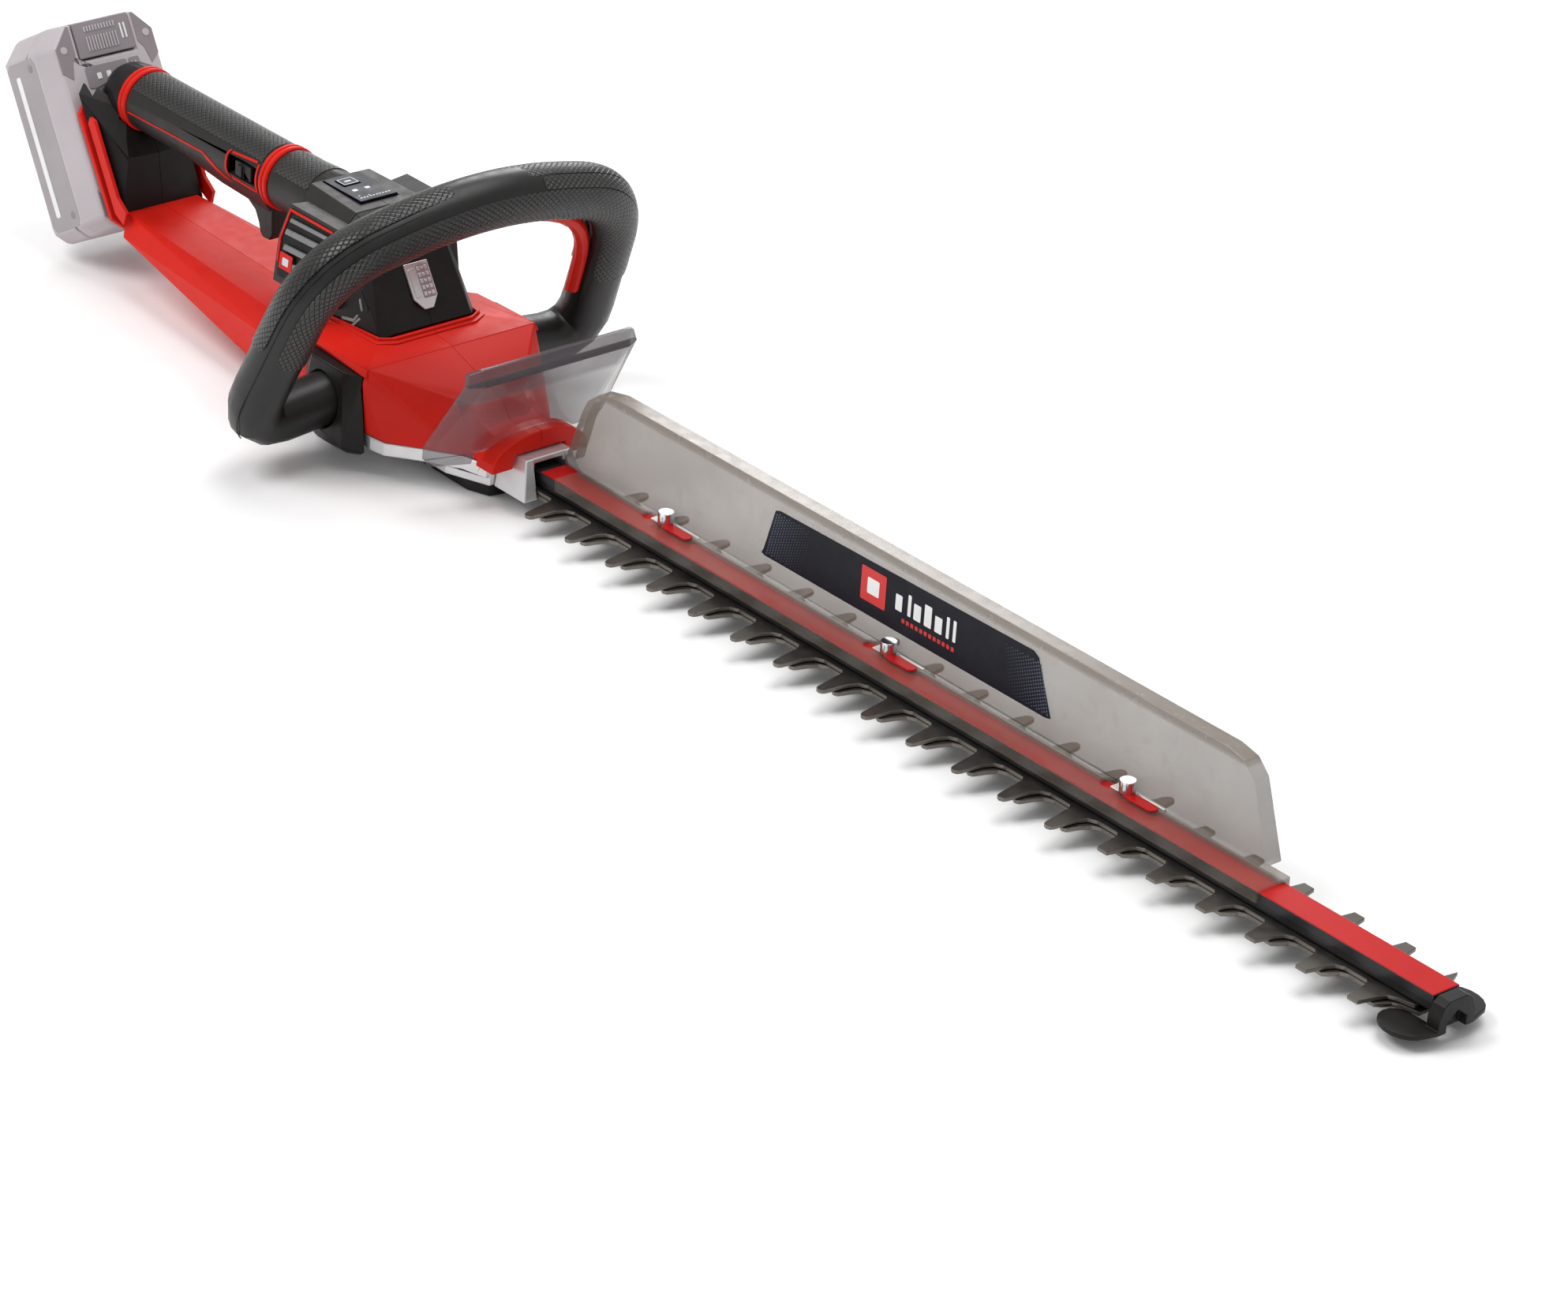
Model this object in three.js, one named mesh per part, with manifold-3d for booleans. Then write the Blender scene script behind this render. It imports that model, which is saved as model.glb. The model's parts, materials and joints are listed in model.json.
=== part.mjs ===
// Cordless hedge trimmer: an 18 V tool with a rotating rear grip, a front loop handle, twin reciprocating
// blades under a guide bar, a hand shield, a clip-on cuttings collector and a slide-on battery.
//
// Frame: millimetres, +X towards the blade tip, +Y to the user's left, +Z up.
// The origin lies on the flat face of the sole, in the centre plane, on the floor that the tool rests on.

import * as THREE from "three";
import { ConvexGeometry } from "three/addons/geometries/ConvexGeometry.js";
import { mergeVertices } from "three/addons/utils/BufferGeometryUtils.js";
import Module from "manifold-3d";

const wasm = await Module();
wasm.setup();

// ---------------------------------------------------------------- driving dimensions
const GAP = 0.3; // clearance between neighbours
const HALF_GAP = GAP / 2;
const BIG = 400; // larger than any section it trims

// blades
const TOOTH_PITCH = 34;
const TOOTH_COUNT = 19;
const FIRST_BLUNT_TOOTH = 13; // teeth from here to the tip are short and square
const FIRST_ROOT_X = 85;
const FAR_STAGGER = 15; // far-side teeth stand this much further forward
const BLADE_HALF = 11.7;
const LONG_REACH = 35.8;
const BLUNT_REACH = 29.5;
const BLADE_THICK = 2.2;
const UPPER_BLADE_Z = 11.8; // underside of the upper blade
const LOWER_BLADE_Z = UPPER_BLADE_Z - GAP - BLADE_THICK;
const LOWER_REACH_TRIM = 8; // its teeth are this much shorter
const LOWER_BLADE_LEAD = 3; // the lower blade stands this much ahead at rest
const BLADE_TIP_X = 725;
const STROKE_FORWARD = 8.5;

// drive
const GEAR_X = -42;
const MOTOR_X = -78;
const GEAR_TEETH = 48;
const PINION_TEETH = 8;
const GEAR_RADIUS = 30;
const PINION_RADIUS = 5;
const CRANK_THROW = 7;
const CRANK_RADIUS = 6;
const CRANK_SWEEP = CRANK_THROW + CRANK_RADIUS;

// guide bar
const BAR_START_X = 70;
const BAR_END_X = 734.6;
const BAR_BASE_Z = UPPER_BLADE_Z + BLADE_THICK + GAP;
const BAR_TOP_Z = 23.7;
const BAR_HALF = 9;
const COVER_SKIN = 1.5;

// collector
const COLLECTOR_X0 = 67.8;
const COLLECTOR_X1 = 606;
const COLLECTOR_TOP_Z = 76;
const COLLECTOR_WALL = 2;
const COLLECTOR_FACE_Y = 9.6;
const COLLECTOR_FLANGE = 8;
const COLLECTOR_TRAVEL = 12;
const STUD_XS = [159.4, 337.2, 513.8];

// rear grip
const GRIP_Z = 105;
const GRIP_RADIUS = 17.8;
const RING_RADIUS = 19;
const RING_WIDTH = 7;
const REAR_RING_X = -309;
const FRONT_RING_X = -173;
const GRIP_X0 = REAR_RING_X + RING_WIDTH / 2 + GAP;
const GRIP_X1 = FRONT_RING_X - RING_WIDTH / 2 - GAP;

// battery and its rail
const RAIL_X = -313.4;
const RAIL_Z = 69.5;
const RAIL_TILT = THREE.MathUtils.degToRad(-30.5);
const BATTERY_HALF = 39;
const BATTERY_BOTTOM = -38;
const BATTERY_TOP = 83.5;
const BATTERY_FRONT = -5;
const BATTERY_BACK = -62;

// loop handle
const LOOP_X = -51;
const LOOP_Z = 34.5;
const LOOP_LEAN = 0.41;
const LOOP_RADIUS = 15;
const LOOP_SEAM = 63;
const LOOP_CORNER_Y = 116.5;
const LOOP_SHOULDER_Y = 102;
const LOOP_SHOULDER = 109;
const LOOP_TOP = 137;

// ---------------------------------------------------------------- materials
const paint = (color, roughness, metalness = 0) =>
  new THREE.MeshStandardMaterial({ color, roughness, metalness });

const RED = () => paint(0xc81f14, 0.45);
const DARK = () => paint(0x38363a, 0.6);
const BLACK = () => paint(0x1c1b1d, 0.55);
const STEEL = () => paint(0x5c5a57, 0.35, 1);
const CHROME = () => paint(0xc9c9cc, 0.15, 1);
const ALUMINIUM = () => paint(0xc2c1be, 0.4, 1);
const COPPER = () => paint(0xa35a32, 0.4, 1);
const GREY_SHELL = () => paint(0xb3aeb0, 0.5);

function smoke() {
  const material = paint(0x9a9089, 0.15);
  material.transparent = true;
  material.opacity = 0.45;
  return material;
}

// ---------------------------------------------------------------- solid helpers
function toSolid(geometry) {
  const plain = geometry.clone();
  plain.deleteAttribute("normal");
  plain.deleteAttribute("uv");
  const merged = mergeVertices(plain, 1e-4);
  const count = merged.attributes.position.count;
  const triVerts = merged.index
    ? new Uint32Array(merged.index.array)
    : Uint32Array.from({ length: count }, (_, i) => i);
  const vertProperties = new Float32Array(merged.attributes.position.array);
  return new wasm.Manifold(new wasm.Mesh({ numProp: 3, vertProperties, triVerts }));
}

function toGeometry(solid) {
  const result = solid.getMesh();
  const geometry = new THREE.BufferGeometry();
  geometry.setAttribute("position", new THREE.BufferAttribute(result.vertProperties, 3));
  geometry.setIndex(new THREE.BufferAttribute(result.triVerts, 1));
  geometry.computeVertexNormals();
  return geometry;
}

const join = (...solids) => solids.reduce((sum, solid) => sum.add(solid));
const cut = (body, ...tools) => tools.reduce((rest, tool) => rest.subtract(tool), body);

// A block between two opposite corners.
function block([x0, y0, z0], [x1, y1, z1]) {
  const geometry = new THREE.BoxGeometry(x1 - x0, y1 - y0, z1 - z0);
  geometry.translate((x0 + x1) / 2, (y0 + y1) / 2, (z0 + z1) / 2);
  return toSolid(geometry);
}

// The convex body around a set of points.
function hull(points) {
  return toSolid(new ConvexGeometry(points.map(([x, y, z]) => new THREE.Vector3(x, y, z))));
}

// The convex body around points given for the left side and mirrored to the right.
function twinHull(points) {
  return hull(points.flatMap(([x, y, z]) => [[x, y, z], [x, -y, z]]));
}

// An outline in the XY plane, raised from z0 to z1.
function plate(outline, z0, z1) {
  const shape = new THREE.Shape(outline.map(([x, y]) => new THREE.Vector2(x, y)));
  const geometry = new THREE.ExtrudeGeometry(shape, { depth: z1 - z0, bevelEnabled: false });
  geometry.translate(0, 0, z0);
  return toSolid(geometry);
}

// An outline in the XZ plane, carried across from y0 to y1.
function slab(outline, y0, y1) {
  const shape = new THREE.Shape(outline.map(([x, z]) => new THREE.Vector2(x, z)));
  const geometry = new THREE.ExtrudeGeometry(shape, { depth: y1 - y0, bevelEnabled: false });
  geometry.rotateX(Math.PI / 2);
  geometry.translate(0, y1, 0);
  return toSolid(geometry);
}

// An outline in the YZ plane, carried forward from x0 to x1.
function beam(outline, x0, x1) {
  const shape = new THREE.Shape(outline.map(([y, z]) => new THREE.Vector2(y, z)));
  const geometry = new THREE.ExtrudeGeometry(shape, { depth: x1 - x0, bevelEnabled: false });
  geometry.rotateX(Math.PI / 2);
  geometry.rotateZ(Math.PI / 2);
  geometry.translate(x0, 0, 0);
  return toSolid(geometry);
}

// A cylinder standing along Z.
function post(x, y, z0, z1, radius, sides = 24) {
  const geometry = new THREE.CylinderGeometry(radius, radius, z1 - z0, sides);
  geometry.rotateX(Math.PI / 2);
  geometry.translate(x, y, (z0 + z1) / 2);
  return toSolid(geometry);
}

// A round profile [x, radius] turned about the line y = 0, z = centreZ.
function turned(profile, centreZ, sides = 32) {
  const closed = [[profile[0][0], 0], ...profile, [profile.at(-1)[0], 0]];
  const points = closed.map(([x, radius]) => new THREE.Vector2(radius, x));
  const geometry = new THREE.LatheGeometry(points, sides);
  geometry.rotateZ(-Math.PI / 2);
  geometry.translate(0, 0, centreZ);
  return toSolid(geometry);
}

// The half of a body on the left (side = 1) or right (side = -1) of the centre plane.
function half(solid, side, seam = HALF_GAP) {
  const lo = side > 0 ? seam : -BIG;
  const hi = side > 0 ? BIG : -seam;
  return solid.intersect(block([-2 * BIG, lo, -BIG], [2 * BIG, hi, BIG]));
}

// A body scaled about a point, used for the hollow of a shell.
function shrunk(solid, centre, factors) {
  const moved = solid.translate(centre.map((value) => -value));
  return moved.scale(factors).translate(centre);
}

const group = new THREE.Group();
const rail = new THREE.Group();
rail.position.set(RAIL_X, 0, RAIL_Z);
rail.rotation.y = RAIL_TILT;
group.add(rail);

function place(name, solid, material, parent = group) {
  const mesh = new THREE.Mesh(toGeometry(solid), material);
  mesh.name = name;
  parent.add(mesh);
  return mesh;
}

// Turns a solid from the battery rail's frame into the tool's frame.
function fromRail(solid) {
  const degrees = THREE.MathUtils.radToDeg(RAIL_TILT);
  return solid.rotate([0, degrees, 0]).translate([RAIL_X, 0, RAIL_Z]);
}

// ---------------------------------------------------------------- blades
const BOLT_XS = [122, 298, 476, 652];
const BOLT_RADIUS = 2.6;
const SLOT_HALF = STROKE_FORWARD + BOLT_RADIUS + 1;
const HEEL_HALF = 19.5;
const HEEL_LENGTH = 25.5;

// One long tooth with a round end, as [distance forward of its rear root, distance out of the root line].
function longTooth(reach) {
  const radius = 3.1;
  const out = reach - BLADE_HALF;
  const centre = [7.2, out - radius];
  const end = [];
  for (let step = 0; step <= 4; step += 1) {
    const angle = Math.PI * (1 - step / 4);
    end.push([centre[0] + radius * Math.cos(angle), centre[1] + radius * Math.sin(angle)]);
  }
  return [[-1.5, 0], [0.5, 2.2], ...end, [12, 7.5], [14.2, 2.4], [18.5, 0]];
}

// One short tooth with a square end.
function bluntTooth(reach) {
  const out = reach - BLADE_HALF;
  return [[-1.5, 0], [0.5, 2.2], [3, out], [9.8, out], [12.4, 6.5], [14.4, 2.2], [18, 0]];
}

function bladeSide(side, lead, reachTrim) {
  const points = [];
  const stagger = side > 0 ? FAR_STAGGER : 0;
  for (let index = 0; index < TOOTH_COUNT; index += 1) {
    const root = FIRST_ROOT_X + index * TOOTH_PITCH + stagger + lead;
    const isLong = index < FIRST_BLUNT_TOOTH;
    const tooth = isLong ? longTooth(LONG_REACH - reachTrim) : bluntTooth(BLUNT_REACH - reachTrim);
    for (const [forward, out] of tooth) points.push([root + forward, side * (BLADE_HALF + out)]);
  }
  return points.filter(([x]) => x < BLADE_TIP_X - 4);
}

function blade(z, lead, reachTrim) {
  const heelX0 = GEAR_X - HEEL_LENGTH;
  const heelX1 = GEAR_X + HEEL_LENGTH;
  const nearHeel = [[heelX0, -HEEL_HALF], [heelX1, -HEEL_HALF], [heelX1 + 9, -BLADE_HALF]];
  const farHeel = [[heelX1 + 9, BLADE_HALF], [heelX1, HEEL_HALF], [heelX0, HEEL_HALF]];
  const tip = [[BLADE_TIP_X + lead, -BLADE_HALF + 2], [BLADE_TIP_X + lead, BLADE_HALF - 2]];
  const near = bladeSide(-1, lead, reachTrim);
  const far = bladeSide(1, lead, reachTrim).reverse();
  const body = plate([...nearHeel, ...near, ...tip, ...far, ...farHeel], z, z + BLADE_THICK);
  const windowX = CRANK_SWEEP + STROKE_FORWARD + 1;
  const windowY = CRANK_SWEEP + 1;
  const crankWindow = block([GEAR_X - windowX, -windowY, z - 1], [GEAR_X + windowX, windowY, z + 4]);
  const slots = BOLT_XS.map((x) =>
    block([x - SLOT_HALF, -BOLT_RADIUS - 0.6, z - 1], [x + SLOT_HALF, BOLT_RADIUS + 0.6, z + 4]),
  );
  return cut(body, crankWindow, ...slots);
}

place("upper_blade", blade(UPPER_BLADE_Z, 0, 0), STEEL());
place("lower_blade", blade(LOWER_BLADE_Z, LOWER_BLADE_LEAD, LOWER_REACH_TRIM), STEEL());

// ---------------------------------------------------------------- gearcase, sole and blade holder
const SOLE_TOP_Z = LOWER_BLADE_Z - 0.7;
const CASE_TOP_Z = 22.4;
const GEAR_Z0 = 15.2;
const GEAR_Z1 = 20.6;

const CASE_RIM_Z = 14.4;
const caseOutline = [
  [-112, -30], [-96, -48], [-16, -58], [-6, -56], [12, -42], [30, -31], [46, -27], [46, 27],
  [30, 31], [12, 42], [-6, 56], [-16, 58], [-96, 48], [-112, 30],
];
const caseKeel = [[-96, -24], [-84, -34], [20, -34], [46, -24], [46, 24], [20, 34], [-84, 34], [-96, 24]];
const soleOutline = [
  [-92, -18], [-84, -26], [30, -28], [44, -22], [46, -13], [46, 13], [44, 22], [30, 28], [-84, 26],
  [-92, 18],
];

const soleBody = hull([
  ...soleOutline.map(([x, y]) => [x, y, SOLE_TOP_Z]),
  ...soleOutline.map(([x, y]) => [x * 0.94, y * 0.9, 0]),
]);
place("sole", soleBody, BLACK());

const heelRoom = HEEL_LENGTH + STROKE_FORWARD + 3;
const bladeChannel = join(
  block([GEAR_X - heelRoom, -HEEL_HALF - 1, -1], [GEAR_X + heelRoom + 6, HEEL_HALF + 1, 14.6]),
  block([GEAR_X, -BLADE_HALF - 0.6, -1], [BIG, BLADE_HALF + 0.6, 14.6]),
);
const gearPocket = post(GEAR_X, 0, 14, 40, GEAR_RADIUS + 2.4, 40);
const pinionPocket = post(MOTOR_X, 0, GEAR_Z0 - 1.4, 40, PINION_RADIUS + 3);
const caseBody = join(plate(caseOutline, CASE_RIM_Z, CASE_TOP_Z),
  plate(caseKeel, SOLE_TOP_Z + GAP, CASE_RIM_Z + 1));
place("gearcase", cut(caseBody, bladeChannel, gearPocket, pinionPocket), ALUMINIUM());

const coverOutline = [[-94, -16], [-80, -26], [-42, -38], [-8, -26], [2, -12], [2, 12], [-8, 26],
  [-42, 38], [-80, 26], [-94, 16]];
const gearCover = cut(
  plate(coverOutline, CASE_TOP_Z + GAP, 26.6),
  post(GEAR_X, 0, 0, 60, 8.4),
  post(MOTOR_X, 0, 0, 60, 6.6),
);
place("gear_cover", gearCover, ALUMINIUM());

// The holder is an aluminium bridge over the root of the guide bar, with a gusseted foot on each side.
function holderLeg(side) {
  const outer = [[46.4, 21.5, 8.9], [73, 21.5, 8.9], [55, 15.5, 29.8], [66, 15.5, 29.8], [46.4, 20, 18]];
  const inner = [[46.4, 12.6, 8.9], [73, 12.6, 8.9], [55, 11, 29.8], [66, 11, 29.8], [46.4, 12, 18]];
  return hull([...outer, ...inner].map(([x, y, z]) => [x, y * side, z]));
}
const holderArch = block([40, -BAR_HALF - 0.5, 0], [90, BAR_HALF + 0.5, 26.6]);
const holderBody = join(holderLeg(-1), holderLeg(1), block([55, -15, 24], [66, 15, 29.8]));
const holderBlades = block([40, -BLADE_HALF - 0.8, 0], [90, BLADE_HALF + 0.8, 14.6]);
place("blade_holder", cut(holderBody, holderArch, holderBlades), ALUMINIUM());

// ---------------------------------------------------------------- guide bar, cover, bolts and tip guard
const barRoot = 47;
const barBody = block([barRoot, -BAR_HALF + 0.8, BAR_BASE_Z],
  [BAR_END_X - 1, BAR_HALF - 0.8, BAR_TOP_Z - COVER_SKIN - GAP]);
const barGroove = block([barRoot + 20, -4, BAR_BASE_Z + 3.4], [BAR_END_X - 20, 4, BAR_TOP_Z]);
const boltWells = BOLT_XS.map((x) => post(x, 0, 0, 40, BOLT_RADIUS + 0.4, 16));
const STUD_NECK = 2.7;
const studWells = STUD_XS.map((x) => post(x, 4.4, 18.4, 40, 3.1, 16));
place("guide_bar", cut(barBody, barGroove, ...boltWells, ...studWells), BLACK());

const coverOuter = block([BAR_START_X, -BAR_HALF, BAR_TOP_Z - 5], [BAR_END_X, BAR_HALF, BAR_TOP_Z]);
const coverInner = block([0, -BAR_HALF + 0.5, 0], [BAR_END_X - 0.6, BAR_HALF - 0.5,
  BAR_TOP_Z - COVER_SKIN]);
place("bar_cover", cut(coverOuter, coverInner, ...studWells), RED());

BOLT_XS.forEach((x, index) => {
  const shank = post(x, 0, SOLE_TOP_Z - 1.6, BAR_BASE_Z + 3, BOLT_RADIUS, 16);
  const head = post(x, 0, SOLE_TOP_Z - 4, SOLE_TOP_Z - 1.4, 5.4, 6);
  const washer = post(x, 0, SOLE_TOP_Z - 1.5, LOWER_BLADE_Z - GAP, 6, 16);
  place(`bar_bolt_${index + 1}`, join(shank, head, washer), STEEL());
});

// Two rounded ears spread beside the end of the bar, joined by an arch in front of it.
const EAR_X = 727;
const EAR_Z = 6.3;
function ear(side) {
  const rim = [];
  for (let step = 0; step < 18; step += 1) {
    const angle = (step / 18) * Math.PI * 2;
    rim.push([EAR_X + 14 * Math.cos(angle), side * (18.5 + 11 * Math.sin(angle))]);
  }
  const root = [[734.9, side * 9.6], [742, side * 7], [743, side * 12]];
  const points = [...rim, ...root].filter(([, y]) => Math.abs(y) > 6.9);
  return hull(points.flatMap(([x, y]) => [[x, y, EAR_Z], [x, y, EAR_Z + 2.5]]));
}
const tipArch = beam(
  [[-12, EAR_Z], [-12, 15], [-9.4, 21], [-6, 23.2], [6, 23.2], [9.4, 21], [12, 15], [12, EAR_Z]],
  BAR_END_X + GAP,
  743,
);
const tipHollow = beam([[-6.5, 0], [-6.5, 12], [0, 17], [6.5, 12], [6.5, 0]], 738.4, 760);
const tipBarRoom = block([600, -BAR_HALF - GAP, 0], [BAR_END_X + GAP, BAR_HALF + GAP, 40]);
place("tip_guard", cut(join(tipArch, ear(-1), ear(1)), tipHollow, tipBarRoom), BLACK());

// ---------------------------------------------------------------- drive train and motor
// A toothed wheel with straight-sided teeth.
function gearWheel(x, z0, z1, teeth, rootRadius, tipRadius, phase = 0) {
  const outline = [];
  for (let index = 0; index < teeth; index += 1) {
    const spread = [[-0.3, rootRadius], [-0.14, tipRadius], [0.14, tipRadius], [0.3, rootRadius]];
    for (const [offset, radius] of spread) {
      const angle = ((index + offset + phase) / teeth) * Math.PI * 2;
      outline.push([x + radius * Math.cos(angle), radius * Math.sin(angle)]);
    }
  }
  return plate(outline, z0, z1);
}

const gearBody = join(
  gearWheel(GEAR_X, GEAR_Z0, GEAR_Z1, GEAR_TEETH, GEAR_RADIUS - 1.6, GEAR_RADIUS + 0.2),
  post(GEAR_X, 0, GEAR_Z1 - 1, 29, 5),
);
place("drive_gear", gearBody, STEEL());

// The two cranks stand opposite each other and are pressed on the gear's underside.
const cranks = join(
  post(GEAR_X - CRANK_THROW, 0, UPPER_BLADE_Z - 0.1, GEAR_Z0 - GAP, CRANK_RADIUS, 20),
  post(GEAR_X + CRANK_THROW, 0, LOWER_BLADE_Z + 0.2, UPPER_BLADE_Z + 0.1, CRANK_RADIUS, 20),
  post(GEAR_X, 0, LOWER_BLADE_Z, GEAR_Z0 - GAP, 4, 16),
);
place("crank_pair", cranks, STEEL());

place("gear_bearing", cut(post(GEAR_X, 0, 22.9, 27.6, 8), post(GEAR_X, 0, 0, 60, 5.3)), CHROME());

const ROTOR_Z0 = 42;
const ROTOR_Z1 = 72;
const rotor = join(post(MOTOR_X, 0, ROTOR_Z0, ROTOR_Z1, 12.5), post(MOTOR_X, 0, 23.4, 84, 3, 16));
place("motor_rotor", rotor, STEEL());
const pinion = cut(
  gearWheel(MOTOR_X, GEAR_Z0, GEAR_Z1 + 2.4, PINION_TEETH, PINION_RADIUS - 1.5, PINION_RADIUS, 0.5),
  post(MOTOR_X, 0, 21.4, 40, 3.3, 16),
);
place("pinion", pinion, STEEL());

// Stator: a ring with six inward teeth.
const statorTeeth = [];
for (let index = 0; index < 6; index += 1) {
  const tooth = block([13.4, -2.6, ROTOR_Z0], [21, 2.6, ROTOR_Z1]);
  statorTeeth.push(tooth.rotate([0, 0, index * 60]).translate([MOTOR_X, 0, 0]));
}
const statorRing = cut(post(MOTOR_X, 0, ROTOR_Z0, ROTOR_Z1, 24, 32), post(MOTOR_X, 0, 0, 99, 19.6, 32));
place("motor_stator", join(statorRing, ...statorTeeth), COPPER());

// Cooling fan: a disc with radial blades on the rotor shaft.
const fanBlades = [];
for (let index = 0; index < 9; index += 1) {
  const vane = block([5, -0.8, 76], [19, 0.8, 82]).rotate([0, 0, index * 40]);
  fanBlades.push(vane.translate([MOTOR_X, 0, 0]));
}
const fanHub = join(post(MOTOR_X, 0, 74.6, 76.6, 19.5, 28), post(MOTOR_X, 0, 74.6, 82, 6));
place("motor_fan", cut(join(fanHub, ...fanBlades), post(MOTOR_X, 0, 0, 99, 3.3, 16)), BLACK());

place("motor_bearing", cut(post(MOTOR_X, 0, 30, 35, 8), post(MOTOR_X, 0, 0, 99, 3.3, 16)), CHROME());

// ---------------------------------------------------------------- red main shell, in two halves
const noseBody = twinHull([
  [-21, 58.5, 22.8], [-6, 56.4, 22.8], [12, 42.4, 22.8], [30, 31, 22.8],
  [-22, 60, 52], [15, 24.5, 48], [24, 12, 46], [34, 14, 34], [34, 26, 24],
  [-22, 57.5, 60.5], [-46, 32, 62], [-40, 6, 61],
]);
const noseLink = twinHull([[20, 30, 22.8], [47, 27, 22.8], [20, 18, 40], [47, 18, 34]]);
const wingBody = twinHull([
  [-72, 56, 56], [-20, 59.5, 56], [-72, 57, 59], [-21, 57.6, 60.4], [-82, 36, 63], [-42, 34, 63],
  [-82, 36, 50], [-20, 30, 50],
]);
// Three shallow steps carry the hood up to the foot of the motor tower.
const stepBodies = [0, 1, 2].map((index) => {
  const spread = 6 - index * 1.9;
  const top = 61.4 + index * 2;
  const ring = [[-39 + spread, 25 + spread * 0.5], [-44 + spread, 33 + spread], [-84, 36 + spread]];
  return twinHull(ring.flatMap(([x, y]) => [[x, y, 52], [x, y, top]]));
});
const bellyBody = twinHull([
  [-124, 45, 36], [-132, 47, 16], [-58, 50, 16], [-58, 52, 56], [-72, 52, 56], [-118, 38, 60],
  [-60, 38, 61], [-84, 37, 61],
]);
const barFrame = twinHull([
  [-294, 24.6, 46], [-288, 31, 34], [-124, 45, 36], [-132, 47, 16], [-112, 30, 40], [-118, 40, 17],
]);
const archOutline = [];
for (let step = 0; step <= 14; step += 1) {
  const angle = Math.PI * (step / 14);
  archOutline.push([33 * Math.cos(angle), 22.8 + 18.4 * Math.sin(angle) ** 0.8]);
}
const archBody = beam(archOutline, 44, 59);

const shellInside = join(
  shrunk(noseBody, [-10, 0, 30], [0.9, 0.93, 0.88]),
  block([-70, -48, -1], [-12, 48, 50]),
  block([10, -22, -1], [50, 22, 30]),
  block([-20, -29, -1], [4, 29, 27]),
  shrunk(bellyBody, [-95, 0, 30], [0.9, 0.92, 0.9]),
  block([-100, -44, 10], [-40, 44, 40]),
);
const barInside = twinHull([[-282, 22, 43], [-280, 26, 37], [-112, 40, 32], [-118, 41, 20],
  [-100, 28, 38], [-100, 36, 20]]);
const towerRoom = join(
  twinHull([
    [-38.6, 27.3, 66.1], [-42.7, 33.3, 62.1], [-81, 37.4, 62.1], [-81, 37.4, 90], [-38.6, 30, 90],
    [-42.7, 33.4, 90],
  ]),
  block([-124, -42, 60.7], [-80.9, 42, 90]),
  post(MOTOR_X, 0, 40, 90, 25.5, 32),
);
const caseRoom = plate(
  [[-114, -31], [-97, -50], [-16, -59], [-5, -57], [14, -43], [31, -32], [47, -28], [47, 28], [31, 32],
  [14, 43], [-5, 57], [-16, 59], [-97, 50], [-114, 31]],
  0,
  CASE_TOP_Z + GAP,
);
const holderRoom = beam([[-22, 0], [-22, 12], [-16.4, 30.4], [16.4, 30.4], [22, 12], [22, 0]], 45.6, 90);

const mainShell = cut(
  join(noseBody, noseLink, wingBody, bellyBody, barFrame, archBody, ...stepBodies),
  shellInside,
  barInside,
  towerRoom,
  caseRoom,
  holderRoom,
);
place("main_shell_right", half(mainShell, -1), RED());
place("main_shell_left", half(mainShell, 1), RED());

// ---------------------------------------------------------------- motor tower and control housing
const towerBody = twinHull([
  [-39, 27, 66.4], [-43, 33, 62.4], [-81, 37, 62.4], [-81, 37, 90],
  [-57, 28.5, 92], [-71, 23, 119], [-81, 30, 115], [-81, 23, 122],
]);
const towerInside = twinHull([
  [-44, 24, 60], [-48, 29, 60], [-90, 33, 60], [-90, 33, 88], [-61, 25, 90], [-75, 20, 114],
  [-90, 22, 116],
]);
const badgeSlope = Math.atan2(118 - 66.4, -39 + 73);
const BADGE_X = -48.5;
const BADGE_Z = 82;
// The badge lies on the tower's sloping front face.
function onTowerFace(solid, lift) {
  const degrees = THREE.MathUtils.radToDeg(Math.PI / 2 - badgeSlope);
  return solid.translate([lift, 0, 0]).rotate([0, -degrees, 0]).translate([BADGE_X, 0, BADGE_Z]);
}
const badgeOutline = [[-8, -3], [-8, 17], [8, 17], [8, -3], [3, -9.5], [-3, -9.5]];
const badgeBody = onTowerFace(beam(badgeOutline, 0, 1.6), 0.2);
const badgeSeat = onTowerFace(beam(badgeOutline.map(([y, z]) => [y * 1.05, z * 1.03]), -3, 4), 0.2 - 0.3);
const badgeWell = badgeSeat.intersect(onTowerFace(beam(badgeOutline.map(([y, z]) => [y * 1.05,
  z * 1.03]), -0.2, 6), 0));
const towerShell = cut(towerBody, towerInside, badgeWell);
place("tower_cover_right", half(towerShell, -1), BLACK());
place("tower_cover_left", half(towerShell, 1), BLACK());
place("badge", badgeBody, ALUMINIUM());

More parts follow.
